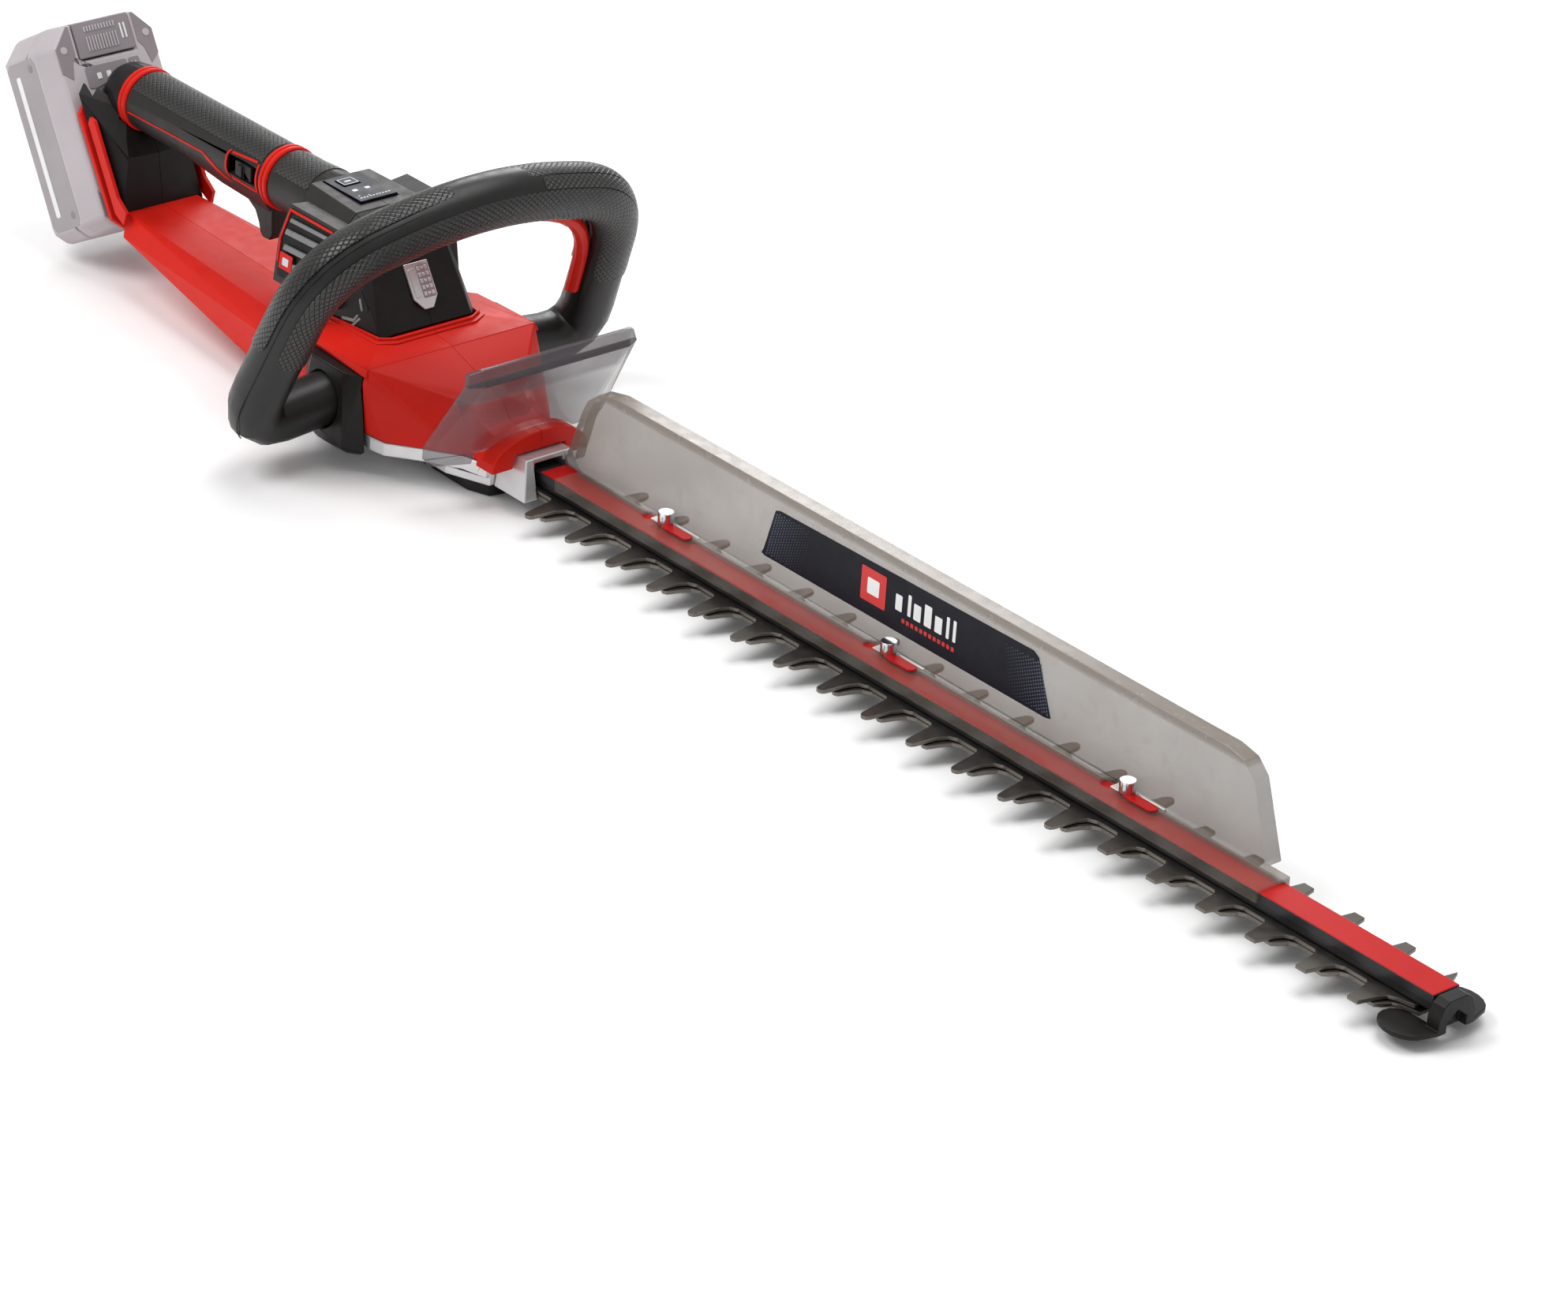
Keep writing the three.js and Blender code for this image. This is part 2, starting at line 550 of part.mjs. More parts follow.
// Control housing: the dark shoulder behind the tower, running back into the round neck.
const DISPLAY_X0 = -124.5;
const DISPLAY_X1 = -89.6;
const shoulderBody = twinHull([
  [-81 - GAP, 37, 61], [-81 - GAP, 37, 90], [-81 - GAP, 30, 114], [-81 - GAP, 22.5, 122],
  [-126, 20, 123], [-122, 30, 112], [-120, 38, 100], [-116, 40, 74], [-112, 38, 61],
]);
const neckBody = turned(
  [[FRONT_RING_X + RING_WIDTH / 2 + GAP, 17.8], [-152, 17.8], [-138, 18.6], [-110, 19]],
  GRIP_Z,
);
const neckBrow = twinHull([[-146, 8, 86], [-146, 15, 92], [-112, 20, 62], [-112, 30, 74],
  [-112, 20, 110]]);
const shoulderInside = twinHull([
  [-70, 33, 50], [-70, 33, 88], [-70, 19, 117.5], [-78, 22, 112], [-122, 17, 118.5], [-118, 26, 109],
  [-116, 34.5, 99], [-112, 36, 74], [-108, 34, 50],
]);
const neckInside = turned([[-300, 10.5], [-100, 10.5]], GRIP_Z, 20);
const displaySeat = block([DISPLAY_X0 - 0.4, -12.9, 121], [DISPLAY_X1 + 0.4, 12.9, 140]);
const ventSeatRight = block([-119.5, -60, 66], [-84.6, -34.6, 102]);
const ventSeatLeft = block([-119.5, 34.6, 66], [-84.6, 60, 102]);
const controlShell = cut(
  join(shoulderBody, neckBody, neckBrow),
  shoulderInside,
  neckInside,
  displaySeat,
  ventSeatRight,
  ventSeatLeft,
);
place("control_housing_right", half(controlShell, -1), DARK());
place("control_housing_left", half(controlShell, 1), DARK());

const displayBody = block([DISPLAY_X0, -12.5, 121.4], [DISPLAY_X1, 12.5, 123.6]);
const buttonHole = block([-120.2, -8.2, 100], [-110.8, 3.2, 140]);
place("display_panel", cut(displayBody, buttonHole), BLACK());
place("mode_button", block([-119.8, -7.8, 122.2], [-111.2, 2.8, 124.2]), BLACK());

// Vent grilles: a frame with slanted louvres.
function ventGrille(side) {
  const frame = block([-119, 35, 66.5], [-85, 41.5, 101.5]);
  const openings = [];
  for (let row = 0; row < 3; row += 1) {
    const z = 78 + row * 8;
    openings.push(block([-115, 30, z], [-89, 50, z + 5]));
  }
  const grille = cut(frame, ...openings);
  return side > 0 ? grille : grille.mirror([0, 1, 0]);
}
place("vent_right", ventGrille(-1), BLACK());
place("vent_left", ventGrille(1), BLACK());

// Electronics inside the housing.
place("control_board", block([-112, -17, 92], [-84, 17, 93.8]), paint(0x1f5a3a, 0.5));
const frontSwitch = join(block([-32, 24, 28], [-12, 36, 42]), block([-26, 35, 32], [-18, 39, 38]));
place("front_switch", frontSwitch, BLACK());

// ---------------------------------------------------------------- rear grip
// A red ring with two raised ribs, fixed to the housing.
function gripRing(x) {
  const w = RING_WIDTH / 2;
  const profile = [
    [x - w, RING_RADIUS - 1], [x - w + 0.8, RING_RADIUS], [x - 0.8, RING_RADIUS],
    [x - 0.3, RING_RADIUS - 0.9],
    [x + 0.3, RING_RADIUS - 0.9], [x + 0.8, RING_RADIUS], [x + w - 0.8, RING_RADIUS],
    [x + w, RING_RADIUS - 1],
  ];
  return cut(turned(profile, GRIP_Z), turned([[x - 9, 9.5], [x + 9, 9.5]], GRIP_Z, 20));
}
place("ring_rear", gripRing(REAR_RING_X), RED());
place("ring_front", gripRing(FRONT_RING_X), RED());

const gripOuter = turned([[GRIP_X0, GRIP_RADIUS], [GRIP_X1, GRIP_RADIUS]], GRIP_Z);
const gripBelly = twinHull([
  [-262, 8, 89], [-222, 9, 86], [GRIP_X1, 9.5, 85], [-262, 15, 96], [GRIP_X1, 16.6, 98],
]);
const gripInside = turned([[GRIP_X0 - 5, 14.6], [GRIP_X1 + 5, 14.6]], GRIP_Z, 24);
const TRIGGER_HALF = 6.5;
const triggerSlot = block([-226, -TRIGGER_HALF - 0.6, 40], [-176, TRIGGER_HALF + 0.6, 104]);
const SLIDER_X0 = -200;
const SLIDER_X1 = -181;
const sliderSlot = block([SLIDER_X0 - 8, -60, 100], [SLIDER_X1 + 2.4, 0, 111]);
const gripBody = cut(join(gripOuter, gripBelly), gripInside, triggerSlot, sliderSlot);
place("grip_right", half(gripBody, -1), DARK());
place("grip_left", half(gripBody, 1), DARK());

// Trigger: a hooked lever whose hollow rear side takes the index finger.
const triggerOutline = [
  [-180.5, 99], [-178.6, 84], [-178.4, 69], [-180.6, 65.4], [-187.4, 65], [-190, 67.6], [-191.5, 73],
  [-195, 79],
  [-202, 83], [-214, 85], [-218, 86.4], [-218, 91], [-200, 93], [-189, 99],
];
place("trigger", slab(triggerOutline, -TRIGGER_HALF, TRIGGER_HALF), DARK());

const sliderCap = block([SLIDER_X0, -17.2, 101], [SLIDER_X1 - 4, -13.9, 110]);
const sliderRib = block([SLIDER_X0 + 4, -18.6, 102], [SLIDER_X0 + 8, -16, 109]);
place("lock_slider", join(sliderCap, sliderRib), BLACK());

place("rear_switch", block([-240, -6.5, 96], [-224, 6.5, 112]), BLACK());

// ---------------------------------------------------------------- rear mount and battery
const MOUNT_LOW = -39;
const MOUNT_HIGH = 47;
const mountCore = twinHull([
  [-293, 24.6, 46.4], [-297, 21, 76], [-304, 18, 86], [-313, 12, 100],
  [-291, 29, 38], [-334, 31, 106], [-338, 24, 112], [-339, 14, 114], [-298, 30, 46.4],
]);
const rearNeck = turned(
  [[-336, 9], [-332, 13.5], [-326, 17], [-318, 18.2], [REAR_RING_X - RING_WIDTH / 2 - GAP, 18.2]],
  GRIP_Z,
);
const behindRail = fromRail(block([-90, -90, -120], [0.2, 90, 160]));
const mountHollow = fromRail(join(
  block([-6, -24, MOUNT_LOW + 6], [4.8, 24, BIG]),
  block([-6, -17, -8.5], [11, 17, 12.5]),
));
const neckHollow = turned([[-328, 10.5], [-300, 10.5]], GRIP_Z, 20);
const barClear = twinHull([
  [-296, 27, 46.3], [-290, 34, 30], [-124, 48, 36.3], [-132, 50, 10], [-112, 30, 40], [-290, 28, 20],
]);
const ringRoom = turned([[REAR_RING_X - RING_WIDTH / 2 - GAP, RING_RADIUS + 0.6],
  [-270, RING_RADIUS + 0.6]], GRIP_Z);
const mountShell = cut(join(mountCore, rearNeck), ringRoom, behindRail, mountHollow, neckHollow,
  barClear);
place("rear_mount_right", half(mountShell, -1), BLACK());
place("rear_mount_left", half(mountShell, 1), BLACK());

// Red trim frame between the mount and the battery, and the terminal block inside it.
const trimOutline = [
  [-24, MOUNT_LOW - 1], [-32, MOUNT_LOW + 7], [-33, MOUNT_HIGH - 16], [-16, MOUNT_HIGH + 1],
  [16, MOUNT_HIGH + 1], [33, MOUNT_HIGH - 16], [32, MOUNT_LOW + 7], [24, MOUNT_LOW - 1],
];
const trimFrame = cut(beam(trimOutline, -3.4, -0.1),
  block([-8, -26, MOUNT_LOW + 5], [4, 26, MOUNT_HIGH + 4]));
place("mount_trim", trimFrame, RED(), rail);
place("terminal_block", block([5, -16, -8], [10.6, 16, 12]), BLACK(), rail);

// Battery case: a front half with rails and a back half, around the cell pack.
const caseSection = [
  [-BATTERY_HALF + 7, BATTERY_BOTTOM], [-BATTERY_HALF, BATTERY_BOTTOM + 7],
  [-BATTERY_HALF, BATTERY_TOP - 12],
  [-BATTERY_HALF + 12, BATTERY_TOP], [BATTERY_HALF - 12, BATTERY_TOP], [BATTERY_HALF, BATTERY_TOP - 12],
  [BATTERY_HALF, BATTERY_BOTTOM + 7], [BATTERY_HALF - 7, BATTERY_BOTTOM],
];
const SPLIT_X = -30;
const faceSection = (narrow, low) => caseSection.map(([y, z]) => [y * narrow, (z - 21.5) * low + 21.5]);
const frontHull = hull([
  ...caseSection.map(([y, z]) => [SPLIT_X, y, z]),
  ...caseSection.map(([y, z]) => [BATTERY_FRONT - 15, y, z]),
  ...faceSection(0.86, 0.97).map(([y, z]) => [BATTERY_FRONT, y, z]),
]);
const backHull = hull([
  ...caseSection.map(([y, z]) => [SPLIT_X - GAP, y, z]),
  ...caseSection.map(([y, z]) => [BATTERY_BACK + 8, y, z]),
  ...faceSection(0.86, 0.86).map(([y, z]) => [BATTERY_BACK, y, z]),
]);
const cellRoom = block([BATTERY_BACK + 3.6, -BATTERY_HALF + 4, BATTERY_BOTTOM + 7],
  [BATTERY_FRONT - 8, BATTERY_HALF - 4, BATTERY_TOP - 13]);
const railBlock = join(
  block([BATTERY_FRONT - 1, -19, BATTERY_BOTTOM + 10], [4.4, 19, 34]),
  block([0.4, -23, BATTERY_BOTTOM + 10], [4.4, 23, 34]),
);
const latchRoom = block([BATTERY_FRONT - 8.4, -19.4, 60.4], [0, 19.4, 82.2]);
place("battery_front_shell", cut(join(frontHull, railBlock), cellRoom, latchRoom), GREY_SHELL(), rail);
place("battery_back_shell", cut(backHull, cellRoom), GREY_SHELL(), rail);

const latchPlate = block([BATTERY_FRONT - 2.8, -19, 60.8], [BATTERY_FRONT + 1, 19, 81.8]);
place("battery_latch", latchPlate, paint(0x77737a, 0.55), rail);

const cells = [];
for (let row = 0; row < 2; row += 1) {
  for (let column = 0; column < 5; column += 1) {
    const cell = new THREE.CylinderGeometry(9, 9, 66, 12);
    cell.translate(BATTERY_BACK + 13.4 + row * 17.8, 0, BATTERY_BOTTOM + 17 + column * 18.4);
    cells.push(toSolid(cell));
  }
}
const nickel = block([BATTERY_BACK + 12, -2, BATTERY_BOTTOM + 12],
  [BATTERY_BACK + 34, 2, BATTERY_BOTTOM + 98]);
place("battery_cells", join(...cells, nickel), paint(0x3c5f8a, 0.4), rail);

// ---------------------------------------------------------------- bosses, loop handle and bail
function sideBoss(side) {
  const body = hull([
    [-86, 47, 55], [-86, 47, 12], [-22.4, 59.4, 55.6], [-17, 60.5, 12], [-72, 55, 55.6],
    [-62, 64, 55.6], [-34, 64, 55.6], [-66, 68, 20], [-28, 68, 13], [-56, 64, 8.6], [-30, 63, 8.6],
    [-60, 50, 8.6], [-26, 60, 8.6],
  ]);
  const socket = loopTube(LOOP_RADIUS + 0.6, 0, 40, 9);
  const shaped = cut(body, socket, caseRoomTall, shellSideCut);
  return side > 0 ? shaped : shaped.mirror([0, 1, 0]);
}

const caseRoomTall = plate(caseOutline.map(([x, y]) => [x, y * 1.008 + Math.sign(y) * 0.2]), -1,
  CASE_TOP_Z + 0.6);
const shellSideCut = join(
  bellyBody.scale([1, 1.012, 1.005]),
  noseBody.scale([1.01, 1.01, 1.01]),
  wingBody.translate([0, 0, -0.3]),
  twinHull([[-21.4, 59, 20], [-22.4, 60.6, 56], [20, 60.6, 56], [20, 59.2, 20], [-21, 20, 20]]),
);
place("side_boss_right", sideBoss(-1), BLACK());
place("side_boss_left", sideBoss(1), BLACK());

// A point of the loop's own plane, carried into the tool's frame.
function onLoop([y, rise]) {
  return new THREE.Vector3(LOOP_X + rise * Math.sin(LOOP_LEAN), y, LOOP_Z + rise * Math.cos(LOOP_LEAN));
}

// The path of the loop: straight legs joined by smooth bends, mirrored about the centre plane.
function loopPath(inset) {
  const corners = [
    [LOOP_SEAM - 4, 0], [LOOP_CORNER_Y - inset, -9 + inset],
    [LOOP_SHOULDER_Y - inset, LOOP_SHOULDER - inset],
    [0, LOOP_TOP - inset],
  ];
  const bends = [30, 36];
  const path = new THREE.CurvePath();
  const right = [...corners.slice(0, 3), ...corners.slice(0, 3).reverse().map(([y, rise]) => [-y, rise])];
  const knots = right.map(onLoop);
  const top = onLoop(corners[3]);
  let from = knots[0];
  const addBend = (index, size) => {
    const corner = knots[index];
    const next = index === 2 ? top : knots[index + 1];
    const before = index === 3 ? top : knots[index - 1];
    const start = corner.clone().lerp(before, size / corner.distanceTo(before));
    const end = corner.clone().lerp(next, size / corner.distanceTo(next));
    path.add(new THREE.LineCurve3(from, start));
    path.add(new THREE.QuadraticBezierCurve3(start, corner, end));
    from = end;
  };
  addBend(1, bends[0]);
  addBend(2, bends[1]);
  const crestIn = top.clone().lerp(knots[2], 0.45);
  const crestOut = top.clone().lerp(knots[3], 0.45);
  path.add(new THREE.LineCurve3(from, crestIn));
  path.add(new THREE.QuadraticBezierCurve3(crestIn, top, crestOut));
  from = crestOut;
  addBend(3, bends[1]);
  addBend(4, bends[0]);
  path.add(new THREE.LineCurve3(from, knots[5]));
  return path;
}

function loopTube(radius, inset, steps, sides) {
  const section = new THREE.Shape();
  section.absarc(0, 0, radius, 0, Math.PI * 2);
  const points = loopPath(inset).getSpacedPoints(steps);
  const path = new THREE.CatmullRomCurve3(points);
  const options = { steps, extrudePath: path, curveSegments: sides, bevelEnabled: false };
  return toSolid(new THREE.ExtrudeGeometry(section, options));
}

// The bail is a strip inside the loop, thick down both legs and thin across the top.
const BAIL_TRAVEL = 4;
const BAIL_INSET = 15;
const bailWindow = twinHull([
  [LOOP_X + 14 * Math.sin(LOOP_LEAN) - 40, 130, LOOP_Z + 30],
  [LOOP_X + 60, 130, LOOP_Z + 30],
  [LOOP_X - 40, 130, 230],
  [LOOP_X + 110, 130, 230],
]);
const bailStrip = loopTube(4.6, BAIL_INSET, 36, 4).intersect(bailWindow);
const bailRise = new THREE.Vector3(Math.sin(LOOP_LEAN), 0, Math.cos(LOOP_LEAN));
const bailGrooves = [0, 1, 2, 3].map((step) => {
  const rise = bailRise.clone().multiplyScalar((BAIL_TRAVEL + 0.8) * (step / 3));
  return loopTube(5.4, BAIL_INSET, 36, 4).translate(rise.toArray());
});
const loopBody = cut(
  loopTube(LOOP_RADIUS, 0, 48, 9),
  ...bailGrooves.map((groove) => groove.intersect(bailWindow)),
  block([-120, -LOOP_SEAM + 5, 0], [60, LOOP_SEAM - 5, 90]),
);
place("loop_handle", loopBody, BLACK());
place("switch_bail", bailStrip, RED());

// ---------------------------------------------------------------- hand shield
// One flat panel of the shield between four corners, with a thickness towards the rear.
function panel(corners, back) {
  return hull([...corners, ...corners.map(([x, y, z]) => [x - back, y, z])]);
}
const SHIELD_SKIN = 2.4;
const shieldFront = panel([[50, -38, 34], [50, 38, 34], [70.5, 49, 84], [70.5, -49, 84]], SHIELD_SKIN);
const shieldWing = (s) => panel([
  [50, 38 * s, 34], [36, 61 * s, 30], [38, 62.5 * s, 38], [66, 57.5 * s, 84], [70.5, 49 * s, 84],
], SHIELD_SKIN);
const shieldFoot = (s) => panel([
  [50, 38 * s, 34.4], [36, 61 * s, 31], [36, 57 * s, 25], [44, 36 * s, 24.6],
], SHIELD_SKIN);
const shieldBrow = panel([[70.5, -49, 83], [70.5, 49, 83], [68.6, 51, 92.6], [68.6, -51, 92.6]], 3.2);
const browEnd = (s) => panel([[70.5, 49 * s, 83], [66, 57.5 * s, 83], [64.6, 56 * s, 90],
  [68.6, 51 * s, 92.6]], 3.2);
const shieldArch = beam([...archOutline.map(([y, z]) => [y * 1.012, z + 0.35]), [-33.4, 0], [33.4, 0]],
  0, 90);
const shieldNose = noseBody.translate([0, 0, 0.5]).scale([1.01, 1.01, 1.01]);
const shieldBody = cut(
  join(shieldFront, shieldWing(1), shieldWing(-1), shieldFoot(1), shieldFoot(-1), shieldBrow, browEnd(1),
    browEnd(-1)),
  shieldArch,
  shieldNose,
);
place("hand_shield", shieldBody, smoke());

// ---------------------------------------------------------------- cuttings collector and its studs
const wallOutline = [
  [COLLECTOR_X0, 25.8], [COLLECTOR_X0 + 12, 58], [COLLECTOR_X0 + 16, 66], [COLLECTOR_X0 + 25, 73],
  [COLLECTOR_X0 + 39, COLLECTOR_TOP_Z], [COLLECTOR_X1 - 34, COLLECTOR_TOP_Z],
  [COLLECTOR_X1 - 22, COLLECTOR_TOP_Z - 2.5],
  [COLLECTOR_X1 - 14, COLLECTOR_TOP_Z - 10], [COLLECTOR_X1, 25.8],
];
const wallInner = wallOutline.map(([x, z], index) => {
  const inX = index < 4 ? COLLECTOR_WALL : index > 5 ? -COLLECTOR_WALL : 0;
  return [x + inX, index === 0 || index === 8 ? z - 9 : z - COLLECTOR_WALL];
});
const face0 = COLLECTOR_FACE_Y;
const face1 = COLLECTOR_FACE_Y + COLLECTOR_WALL;
const collectorPan = cut(
  slab(wallOutline, face0, face1 + COLLECTOR_FLANGE),
  slab(wallInner, face1, face1 + COLLECTOR_FLANGE + 1),
);
const saddleOuter = join(
  block([COLLECTOR_X0 + 17, -BAR_HALF - 2.2, 18.6], [COLLECTOR_X1 + 14, face1, 26]),
  block([COLLECTOR_X0 + 2, BAR_HALF - 1, 18.6], [COLLECTOR_X0 + 18, face1, 27]),
);
const saddleInner = block([0, -BAR_HALF - 0.4, 0], [BIG * 2, BAR_HALF + 0.4, BAR_TOP_Z + 0.4]);
const keyholes = STUD_XS.flatMap((x) => [
  block([x - STUD_NECK - 0.5, 4.4 - STUD_NECK - 0.5, 20],
    [x + STUD_NECK + 0.5, 4.4 + STUD_NECK + 0.5, 30]),
  block([x - COLLECTOR_TRAVEL, 4.4 - STUD_NECK - 0.5, 20], [x, 4.4 + STUD_NECK + 0.5, 30]),
  post(x - COLLECTOR_TRAVEL, 4.4, 20, 30, 5, 20),
]);
place("collector", cut(join(collectorPan, saddleOuter), saddleInner, ...keyholes), smoke());

STUD_XS.forEach((x, index) => {
  const neck = post(x, 4.4, 18.8, 27, STUD_NECK, 16);
  const head = post(x, 4.4, 26.4, 33, 4.4, 20);
  place(`collector_stud_${index + 1}`, join(neck, head), CHROME());
});

export default group;
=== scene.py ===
"""Cordless hedge trimmer: the visual model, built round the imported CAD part.

Metres, +X towards the blade tip, +Y to the user's left, +Z up, the sole on the floor at z = 0.
"""

import json
import math

import bmesh
import bpy
import numpy as np
from mathutils import Matrix

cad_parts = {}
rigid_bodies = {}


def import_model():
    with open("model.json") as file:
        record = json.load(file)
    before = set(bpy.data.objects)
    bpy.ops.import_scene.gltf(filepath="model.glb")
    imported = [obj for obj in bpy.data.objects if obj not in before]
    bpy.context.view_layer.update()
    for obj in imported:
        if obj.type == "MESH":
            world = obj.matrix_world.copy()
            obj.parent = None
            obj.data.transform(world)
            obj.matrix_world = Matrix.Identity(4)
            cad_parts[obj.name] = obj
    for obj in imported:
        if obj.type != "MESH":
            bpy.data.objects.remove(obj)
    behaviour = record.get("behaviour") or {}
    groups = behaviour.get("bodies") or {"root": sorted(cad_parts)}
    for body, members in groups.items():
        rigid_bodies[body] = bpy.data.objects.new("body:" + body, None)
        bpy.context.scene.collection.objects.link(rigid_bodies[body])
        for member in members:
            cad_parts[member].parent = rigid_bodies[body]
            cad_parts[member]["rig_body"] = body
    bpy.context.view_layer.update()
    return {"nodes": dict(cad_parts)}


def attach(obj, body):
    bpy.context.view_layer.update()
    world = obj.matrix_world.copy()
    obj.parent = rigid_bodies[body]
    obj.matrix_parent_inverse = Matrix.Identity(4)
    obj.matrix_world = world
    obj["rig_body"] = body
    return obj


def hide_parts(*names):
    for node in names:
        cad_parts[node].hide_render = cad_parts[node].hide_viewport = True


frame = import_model()
MM = 0.001
bpy.context.scene.view_settings.view_transform = "Standard"

# ---------------------------------------------------------------- main shell and tower step
# The housing is two halves of red glass-filled nylon, moulded with a fine satin grain and screwed
# together on the centre plane. Their corners are rounded by about a millimetre.


def shader_link(tree, source, target):
    """Joins one node socket to another."""
    tree.links.new(source, target)


def noise_node(tree, vector, scale, detail):
    """A 3-D noise read at a place, with bumps about 1 / scale metres apart."""
    noise = tree.nodes.new("ShaderNodeTexNoise")
    noise.inputs["Scale"].default_value = scale
    noise.inputs["Detail"].default_value = detail
    shader_link(tree, vector, noise.inputs["Vector"])
    return noise.outputs["Fac"]


def ramp(tree, value, start, end, low, high):
    """Carries the range start to end onto the range low to high, and stays at low or high beyond it."""
    node = tree.nodes.new("ShaderNodeMapRange")
    for socket, number in (("From Min", start), ("From Max", end), ("To Min", low), ("To Max", high)):
        node.inputs[socket].default_value = number
    shader_link(tree, value, node.inputs["Value"])
    return node.outputs["Result"]


def spread(tree, value, low, high):
    """Carries a noise, most of which lies between 0.3 and 0.7, onto the range low to high."""
    return ramp(tree, value, 0.3, 0.7, low, high)


def calculate(tree, operation, first, second):
    """One arithmetic step on two sockets or numbers."""
    node = tree.nodes.new("ShaderNodeMath")
    node.operation = operation
    for socket, value in zip(node.inputs, (first, second)):
        if isinstance(value, (int, float)):
            socket.default_value = value
        elif value is not None:
            shader_link(tree, value, socket)
    return node.outputs[0]


def make_surface_group():
    """Handled-surface effect: blotchy colour, uneven gloss, dust on upward faces and a fine grain."""
    group = bpy.data.node_groups.new("handled_surface", "ShaderNodeTree")
    for name, kind, default in (
        ("Place", "NodeSocketVector", None),
        ("Colour", "NodeSocketColor", (0.5, 0.5, 0.5, 1)),
        ("Gloss", "NodeSocketFloat", 0.5),
        ("Blotch", "NodeSocketFloat", 0.1),
        ("Grain", "NodeSocketFloat", 900.0),
        ("Dust", "NodeSocketFloat", 0.05),
    ):
        socket = group.interface.new_socket(name, in_out="INPUT", socket_type=kind)
        if default is not None:
            socket.default_value = default
    for name, kind in (
        ("Colour", "NodeSocketColor"),
        ("Roughness", "NodeSocketFloat"),
        ("Height", "NodeSocketFloat"),
    ):
        group.interface.new_socket(name, in_out="OUTPUT", socket_type=kind)
    given = group.nodes.new("NodeGroupInput")
    result = group.nodes.new("NodeGroupOutput")
    broad = noise_node(group, given.outputs["Place"], 22.0, 3.0)
    middle = noise_node(group, given.outputs["Place"], 140.0, 2.0)
    scaled = group.nodes.new("ShaderNodeVectorMath")
    scaled.operation = "SCALE"
    shader_link(group, given.outputs["Place"], scaled.inputs[0])
    shader_link(group, given.outputs["Grain"], scaled.inputs["Scale"])
    grain = noise_node(group, scaled.outputs[0], 1.0, 1.0)

    shade = calculate(group, "MULTIPLY", spread(group, broad, -1.0, 1.0), given.outputs["Blotch"])
    shade = calculate(group, "ADD", shade, 1.0)
    blotched = group.nodes.new("ShaderNodeHueSaturation")
    shader_link(group, given.outputs["Colour"], blotched.inputs["Color"])
    shader_link(group, shade, blotched.inputs["Value"])
    facing = group.nodes.new("ShaderNodeNewGeometry")
    split = group.nodes.new("ShaderNodeSeparateXYZ")
    shader_link(group, facing.outputs["Normal"], split.inputs[0])
    upward = calculate(group, "MAXIMUM", split.outputs["Z"], 0.0)
    dust = calculate(group, "MULTIPLY", upward, spread(group, middle, 0.2, 1.0))
    dust = calculate(group, "MULTIPLY", dust, given.outputs["Dust"])
    dusted = group.nodes.new("ShaderNodeMix")
    dusted.data_type = "RGBA"
    dusted.inputs["B"].default_value = (0.55, 0.53, 0.5, 1)
    shader_link(group, dust, dusted.inputs["Factor"])
    shader_link(group, blotched.outputs["Color"], dusted.inputs["A"])
    shader_link(group, dusted.outputs["Result"], result.inputs["Colour"])
    uneven = calculate(group, "ADD", given.outputs["Gloss"], spread(group, middle, -0.05, 0.05))
    shader_link(group, calculate(group, "ADD", uneven, dust), result.inputs["Roughness"])
    shader_link(group, grain, result.inputs["Height"])
    return group


handled_surface = make_surface_group()


def finish_material(
    name, colour, gloss, metallic=0.0, blotch=0.08, grain=1400.0, depth=0.02, dust=0.03, coat=0.0, shine=0.5
):
    """A material of one colour, broken up by the handled-surface group in Object coordinates.

    grain is in bumps a metre, depth in millimetres, and shine is the strength of the plain reflection.
    """
    material = bpy.data.materials.new(name)
    material.use_nodes = True
    tree = material.node_tree
    shader = tree.nodes["Principled BSDF"]
    place = tree.nodes.new("ShaderNodeTexCoord")
    effect = tree.nodes.new("ShaderNodeGroup")
    effect.node_tree = handled_surface
    effect.inputs["Colour"].default_value = (*colour, 1)
    effect.inputs["Gloss"].default_value = gloss
    effect.inputs["Blotch"].default_value = blotch
    effect.inputs["Grain"].default_value = grain
    effect.inputs["Dust"].default_value = dust
    shader_link(tree, place.outputs["Object"], effect.inputs["Place"])
    shader_link(tree, effect.outputs["Colour"], shader.inputs["Base Color"])
    shader_link(tree, effect.outputs["Roughness"], shader.inputs["Roughness"])
    bump = tree.nodes.new("ShaderNodeBump")
    bump.inputs["Strength"].default_value = 0.35
    bump.inputs["Distance"].default_value = depth * MM
    shader_link(tree, effect.outputs["Height"], bump.inputs["Height"])
    shader_link(tree, bump.outputs["Normal"], shader.inputs["Normal"])
    shader.inputs["Metallic"].default_value = metallic
    shader.inputs["Coat Weight"].default_value = coat
    shader.inputs["Specular IOR Level"].default_value = shine
    material.diffuse_color = (*colour, 1)
    return material


SHARP_ANGLE = 26


